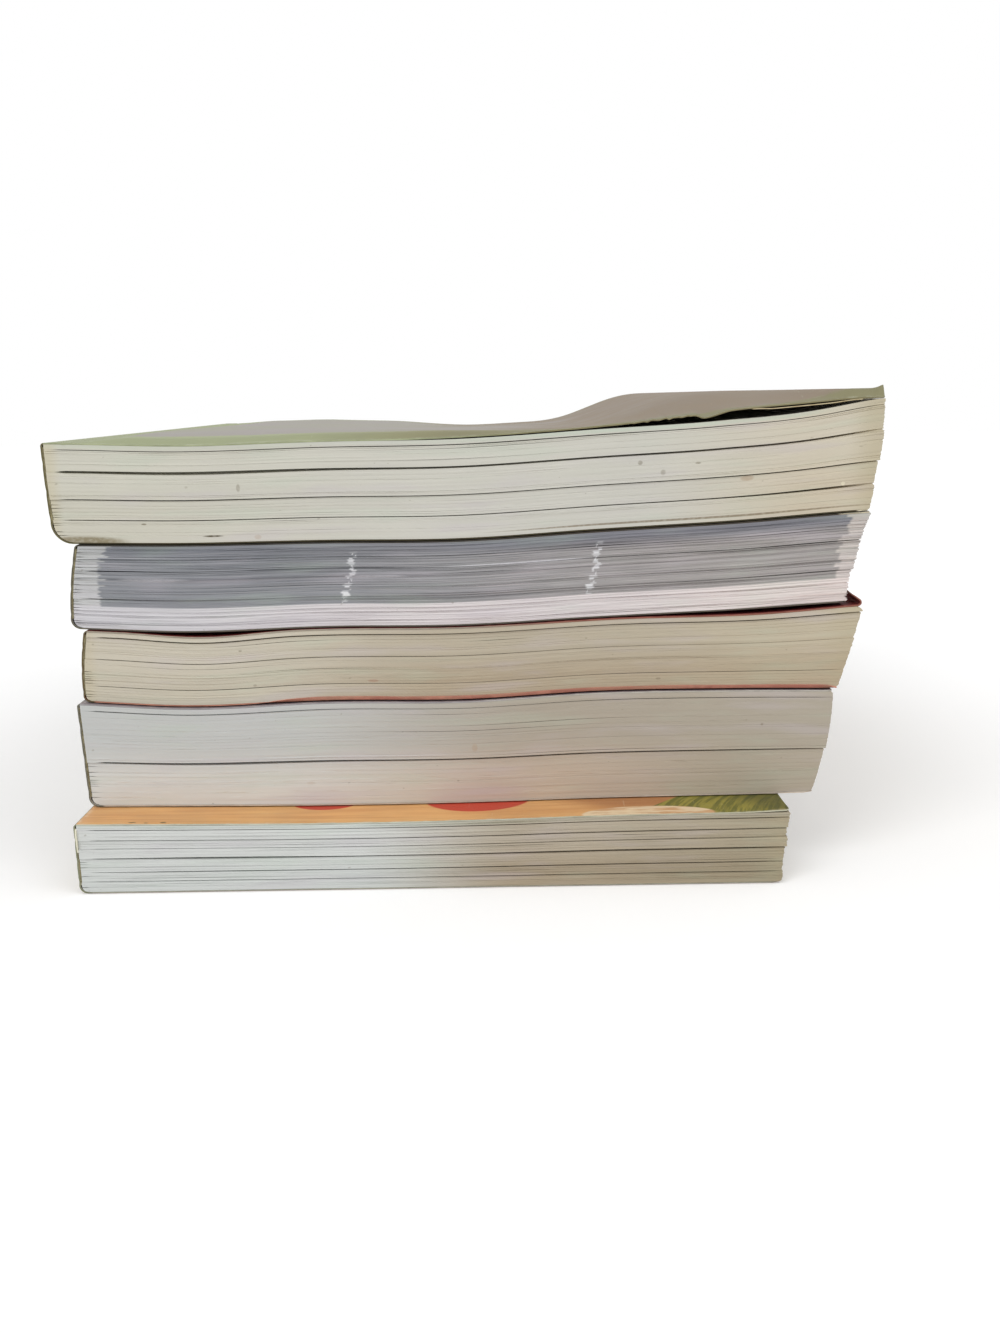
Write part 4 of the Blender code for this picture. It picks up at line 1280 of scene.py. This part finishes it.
def framed_print(finish, book, place):
    """A plain cover design: a mottled field inside a border, with a thin line and no lettering.

    The top cover's is browned towards the fore edge, and its border narrows there along the tail edge.
    """
    print_ = PRINTS[book.name]
    shape = TOP_BORDER if book is TOP else BORDER
    x, y, _ = place
    width, height = book.width / MM, book.height / MM
    cloud = finish.noise(place, (0.012, 0.012, 0.02), 4.0, 0.6)
    deeper = between(print_.field, print_.border, 0.3)
    field = finish.mix(finish.ramp(cloud, 0.35, 0.65), print_.field, deeper)
    border = print_.border
    tail = shape.tail
    if book is TOP:
        brown = finish.ramp((cloud - 0.5) * BROWNED_UNEVENLY + x, 84.0, 150.0, 0.0, 0.9)
        field = finish.mix(brown, field, (140, 125, 108))
        border = finish.mix(finish.ramp(x, 50.0, 110.0), border, (136, 132, 102))
        tail = finish.ramp(x, 110.0, 190.0, shape.tail, TOP_TAIL_BY_FORE)
    frayed = (finish.noise(place, (0.3, 0.3, 0.3), 3.0, 0.7) - 0.5) * (4.0 * shape.soft)
    inside = (finish.band(x + frayed, BORDER_AT_SPINE, width - shape.fore, shape.soft)
              * finish.band(y + frayed, tail, height - BORDER_AT_HEAD, shape.soft))
    line = (finish.band(x, LINE_AT_SPINE, width - shape.line, 0.2)
            * finish.band(y, LINE_AT_TAIL, height - LINE_AT_HEAD, 0.2))
    lined = finish.mix(line, border, finish.shade(border, shape.line_shade))
    return finish.mix(inside, lined, field)


# Parts of the lowest cover's print, each with its middle and its size
MOUNDS = (((62.0, 20.0), (18.0, 15.0)), ((103.0, 21.0), (30.0, 27.0)), ((150.0, 60.0), (80.0, 60.0)))
PEBBLE = ((147.0, 1.0), (36.0, 15.0))
DARK_SPECKS = (((14.4, 1.6), (2.6, 1.2)), ((18.0, 1.2), (1.4, 0.8)), ((22.4, 1.5), (2.0, 1.6)))
CRISP = (0.0, 0.12)


def meadow_print(finish, place):
    """The lowest cover: ochre ground, terracotta mounds, olive blades by the fore edge and a cream pebble."""
    x, y, z = place
    grain = finish.patches(place, (0.03, 0.5, 0.1), 0.35, 0.7, detail=4.0, roughness=0.6)
    colour = finish.mix(grain, (226, 174, 114), (210, 152, 96))
    colour = finish.mix(finish.patches(place, (0.02, 0.04, 0.1), 0.45, 0.7, 0.5), colour, (224, 186, 120))
    brown = finish.ramp(x + y, 134.0, 150.0) * finish.ramp(y, 2.0, 12.0, 0.2, 0.75)
    colour = finish.mix(brown, colour, (158, 104, 66))
    for mound in MOUNDS:
        colour = finish.mix(finish.ramp(finish.spot(x, y, *mound), *CRISP), colour, (192, 70, 50))
    leaning = x + finish.maths("SINE", y * 0.12) * 2.0 - y * 0.5
    blades = finish.patches((leaning, y, z), (0.6, 0.05, 0.1), 0.42, 0.58, detail=3.0, roughness=0.6)
    olive = finish.mix(blades, (150, 140, 62), (106, 104, 46))
    colour = finish.mix(finish.ramp(x - y * 0.8, 142.0, 142.8), colour, olive)
    colour = finish.mix(finish.ramp(x + y * 0.5, 172.0, 186.0, 0.0, 0.6), colour, (58, 62, 34))
    vein = finish.patches(place, (0.12, 0.5, 0.1), 0.45, 0.65, detail=3.0)
    pebble = finish.mix(vein, (232, 208, 172), (206, 160, 116))
    colour = finish.mix(finish.ramp(finish.spot(x, y, *PEBBLE), *CRISP), colour, pebble)
    for speck in DARK_SPECKS:
        colour = finish.mix(finish.spot(x, y, *speck) * 0.8, colour, (84, 80, 40))
    return colour


# The spine's panel and its bands, from start to end in shares of the height
SPINE_PANEL = (0.28, 0.74)
SPINE_BANDS = ((0.12, 0.135), (0.15, 0.155), (0.86, 0.875))


def spine_print(finish, book, place):
    """A plain spine: one colour with a paler panel between bands, rubbed along the reading creases."""
    print_ = PRINTS[book.name]
    height = book.height / MM
    panel = finish.band(place[1], SPINE_PANEL[0] * height, SPINE_PANEL[1] * height, 0.3)
    colour = finish.mix(panel, print_.spine, between(print_.spine, PALE_GREY, 0.28))
    for start, end in SPINE_BANDS:
        band = finish.band(place[1], start * height, end * height, 0.2)
        colour = finish.mix(band, colour, between(print_.spine, BLACK, 0.28))
    creases = finish.patches(place, (0.2, 0.02, 1.4), 0.60, 0.68, 0.5, detail=3.0, roughness=0.6)
    return finish.mix(creases, colour, print_.worn)


def zone_shares(finish):
    """Whether a place is past the front cover and whether it is on the back cover, each 0 or 1."""
    zone = finish.number("zone")
    return finish.ramp(zone, 0.3, 0.7), finish.ramp(zone, 1.3, 1.7)


def scuffs(finish, place):
    """Fine random scratches on a laminated cover, from 0 to 1."""
    along = finish.patches(place, (0.03, 0.9, 0.4), 0.64, 0.74, detail=3.0, roughness=0.7)
    across = finish.patches(place, (0.8, 0.035, 0.4), 0.66, 0.76, detail=3.0, roughness=0.7)
    return finish.larger(along, across)


def worn_places(finish, place, thickness, on_front, on_spine):
    """Flecks, from 0 to 1, along the folds by the spine and along the tail and head edges."""
    x, _, z = place
    by_folds = finish.larger(finish.ramp(z, thickness - 1.8, thickness - 0.5), finish.fall(z, 0.5, 2.2))
    folds = finish.larger(finish.fall(x, 0.4, 2.0) * on_front, on_spine * by_folds)
    ends = finish.fall(finish.number("from_end"), 0.3, 1.6)
    flecks = finish.patches(place, (0.22, 0.22, 0.5), 0.46, 0.66, detail=4.0, roughness=0.65)
    return finish.larger(folds, ends) * flecks


def card_outside_material(book):
    """Laminated print, scuffed, and worn pale along the folds and cut edges."""
    print_ = PRINTS[book.name]
    finish = Finish(book.name + "_card_print", roughness=0.6, specular=0.15 if book is TOP else 0.35)
    place = finish.attribute("card")
    past_front, on_back = zone_shares(finish)
    on_spine = past_front * (1.0 - on_back)
    colour = meadow_print(finish, place) if book is BOOKS[0] else framed_print(finish, book, place)
    rubbed = finish.patches(place, (0.07, 0.4, 0.3), 0.42, 0.6, 0.4, detail=3.0, roughness=0.6)
    colour = finish.mix(on_back, colour, finish.mix(rubbed, print_.back, print_.field))
    colour = finish.mix(on_spine, colour, spine_print(finish, book, place))
    cloud = finish.noise(place, (0.05, 0.05, 0.08), 4.0, 0.6)
    colour = finish.shade(colour, finish.ramp(cloud, 0.3, 0.7, 0.93, 1.06))
    scratch = scuffs(finish, place)
    colour = finish.mix(scratch * 0.2, colour, print_.worn)
    worn = worn_places(finish, place, book.thickness / MM, 1.0 - past_front, on_spine)
    colour = finish.mix(worn * 0.5, colour, print_.worn)
    roughness = finish.ramp(cloud, 0.3, 0.7, 0.52, 0.68)
    return finish.done(colour, cloud - scratch * 0.15, 0.15 * MM, 0.5, roughness)


def card_inside_material(book):
    """The plain inside of a cover. The top one is darkened by the tail edge, away from the spine: painted
    shade for the deep shadow in the slit between it and the pages.
    """
    inside = PRINTS[book.name].inside
    finish = Finish(book.name + "_card_inside", roughness=0.7, specular=0.3)
    place = finish.attribute("card")
    x, y, _ = place
    cloud = finish.patches(place, (0.02, 0.02, 0.05), 0.3, 0.7, detail=4.0, roughness=0.6)
    colour = finish.mix(cloud, inside, between(inside, BLACK, 0.1))
    if book is TOP:
        # painted shade: the top cover's inside darkened by the tail edge, where the slit over the pages lies
        # in deep shadow
        painted_shade = finish.fall(y, 4.0, 30.0, 0.75) * finish.ramp(x, 60.0, 130.0)
        colour = finish.mix(painted_shade, colour, (84, 78, 64))
    return finish.done(colour, finish.noise(place, (1.2, 1.2, 1.2), 3.0), 0.03 * MM, 0.5)


FRAYED_CARD = (214, 205, 180)


def card_edge_material(book):
    """The cut edge of the card: pale core with the print's colour and dirt rubbed into it.

    The fore corners between the fourth and the top book are frayed to the bare card.
    """
    print_ = PRINTS[book.name]
    finish = Finish(book.name + "_card_edge", roughness=0.8, specular=0.2)
    width = book.width / MM
    place = finish.attribute("card")
    past_front, on_back = zone_shares(finish)
    # the fourth book's front cut edges and the top book's back cut edge are dark partly as painted shade
    # between these two books
    front = finish.mix(finish.ramp(place[0], 90.0, 135.0), print_.edge_front, print_.edge_front_fore)
    colour = finish.mix(past_front, front, print_.edge_spine)
    colour = finish.mix(on_back, colour, print_.edge_back)
    dirt = finish.noise(place, (0.12, 0.12, 0.5), 4.0, 0.65)
    colour = finish.shade(colour, finish.ramp(dirt, 0.3, 0.7, 0.78, 1.12))
    if book in BOOKS[3:]:
        frayed_sheet = on_back if book is TOP else 1.0 - past_front
        by_fore = finish.ramp(dirt * 3.0 + place[0], width - 4.0, width - 2.5)
        colour = finish.mix(by_fore * frayed_sheet, colour, FRAYED_CARD)
    return finish.done(colour, dirt, 0.05 * MM, 0.6)


def ply_material(book):
    """The bare inner ply of the card, creamy and a little fibrous."""
    finish = Finish(book.name + "_card_ply", roughness=0.85, specular=0.2)
    fibres = finish.noise(finish.attribute("card"), (0.5, 0.5, 0.5), 3.0, 0.6)
    colour = finish.mix(finish.ramp(fibres, 0.3, 0.7), (208, 196, 160), (184, 166, 128))
    return finish.done(colour, fibres, 0.04 * MM, 0.5)


def glue_material(book):
    """Dull yellowed glue, cream where a bead has run out at the tail. Its dark olive is partly painted shade,
    standing in for the shaded slot between card and pages by the spine.
    """
    finish = Finish(book.name + "_glue", roughness=0.6, specular=0.3)
    place = finish.attribute("card")
    cloud = finish.noise(place, (0.6, 0.2, 0.9), 3.0)
    # dark olive, partly painted shade of the slot between card and pages by the spine
    colour = finish.mix(finish.ramp(cloud, 0.35, 0.65), (136, 128, 96), (106, 98, 70))
    run_out_colour = (226, 222, 200) if book is BOOKS[0] else (150, 140, 104)
    colour = finish.mix(finish.fall(place[1], -0.1, 0.1, 0.9), colour, run_out_colour)
    return finish.done(colour, cloud, 0.1 * MM, 0.7)


# The books

for book in BOOKS:
    leaves = add_page_block(book, page_edge_material(book), page_face_material(book))
    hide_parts(book.name + "_page_block")
    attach(leaves, "stack")
    glue = add_glue(book, glue_material(book))
    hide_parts(book.name + "_spine_glue")
    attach(glue, "stack")
    card_materials = (card_outside_material(book), card_inside_material(book), card_edge_material(book))
    if book is TOP:
        wrap, front = add_top_cover(card_materials)
        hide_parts("book_5_back_cover_and_spine")
        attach(wrap, "stack")
        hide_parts("book_5_front_cover")
        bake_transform(front)
        bare = ply_material(book)
        ply = add_loose_ply((bare, card_materials[1], bare))
        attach(ply, "front_cover")
    else:
        card = add_cover(book, card_materials)
        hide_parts(book.name + "_cover")
        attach(card, "stack")


# Floor, world, lights and camera

FLOOR_SIZE = 8.0
FLOOR_BELOW = 0.2 * MM
FLOOR_GLOW = 0.2
SKY_LIGHT = 0.67
CAMERA_PLACE = Vector((0.00865, -0.53749, 0.12489))
CAMERA_DOWN = math.radians(9.811)
CAMERA_ROLL = math.radians(0.9)
CAMERA_LENS = 42.4


def seen_directly(tree):
    """1 for camera, glossy and transmission rays, so that what they show is the pale background."""
    path = tree.nodes.new("ShaderNodeLightPath")
    seen = path.outputs["Is Camera Ray"]
    for name in ("Is Glossy Ray", "Is Transmission Ray"):
        add = tree.nodes.new("ShaderNodeMath")
        add.operation = "MAXIMUM"
        tree.links.new(seen, add.inputs[0])
        tree.links.new(path.outputs[name], add.inputs[1])
        seen = add.outputs[0]
    return seen


def add_floor():
    """A plain pale floor, shown almost white, that keeps the stack's shadow."""
    bpy.ops.mesh.primitive_plane_add(size=FLOOR_SIZE, location=(0.0, 0.0, -FLOOR_BELOW))
    floor = bpy.context.object
    floor.name = "floor"
    material = bpy.data.materials.new("floor")
    material.use_nodes = True
    tree = material.node_tree
    shader = tree.nodes["Principled BSDF"]
    shader.inputs["Base Color"].default_value = (0.9, 0.9, 0.9, 1.0)
    shader.inputs["Roughness"].default_value = 1.0
    shader.inputs["Specular IOR Level"].default_value = 0.0
    shader.inputs["Emission Color"].default_value = (1.0, 1.0, 1.0, 1.0)
    glow = tree.nodes.new("ShaderNodeMath")
    glow.operation = "MULTIPLY"
    glow.inputs[1].default_value = FLOOR_GLOW
    tree.links.new(seen_directly(tree), glow.inputs[0])
    tree.links.new(glow.outputs[0], shader.inputs["Emission Strength"])
    floor.data.materials.append(material)


def add_world():
    """An even white sky: full white where it is seen, softer where it lights the stack."""
    world = bpy.data.worlds.new("studio")
    bpy.context.scene.world = world
    world.use_nodes = True
    tree = world.node_tree
    background = tree.nodes["Background"]
    background.inputs["Color"].default_value = (1.0, 1.0, 1.0, 1.0)
    strength = tree.nodes.new("ShaderNodeMapRange")
    strength.inputs["To Min"].default_value = SKY_LIGHT
    strength.inputs["To Max"].default_value = 1.0
    tree.links.new(seen_directly(tree), strength.inputs["Value"])
    tree.links.new(strength.outputs[0], background.inputs["Strength"])


def add_light(name, place, spread, strength):
    """A wide, distant lamp that shines evenly on the whole scene from the side of place."""
    lamp = bpy.data.lights.new(name, "SUN")
    lamp.angle = math.radians(spread)
    lamp.energy = strength
    holder = bpy.data.objects.new(name, lamp)
    holder.location = place
    holder.rotation_euler = (-Vector(place)).to_track_quat("-Z", "Y").to_euler()
    bpy.context.scene.collection.objects.link(holder)


def add_camera():
    """A camera at the photograph's place, a little down and a little rolled."""
    camera = bpy.data.cameras.new("camera")
    camera.lens = CAMERA_LENS
    camera.sensor_width = 36.0
    camera.clip_start = 0.01
    holder = bpy.data.objects.new("camera", camera)
    level = Euler((math.radians(90.0) - CAMERA_DOWN, 0.0, 0.0)).to_matrix()
    turn = level @ Matrix.Rotation(-CAMERA_ROLL, 3, "Z")
    holder.matrix_world = Matrix.Translation(CAMERA_PLACE) @ turn.to_4x4()
    bpy.context.scene.collection.objects.link(holder)
    bpy.context.scene.camera = holder


add_floor()
add_world()
add_light("key", (-0.7, -1.1, 1.2), 34.0, 0.89)
add_light("fill", (0.9, -0.8, 0.8), 48.0, 0.58)
add_camera()
bpy.context.scene.view_settings.view_transform = "Standard"
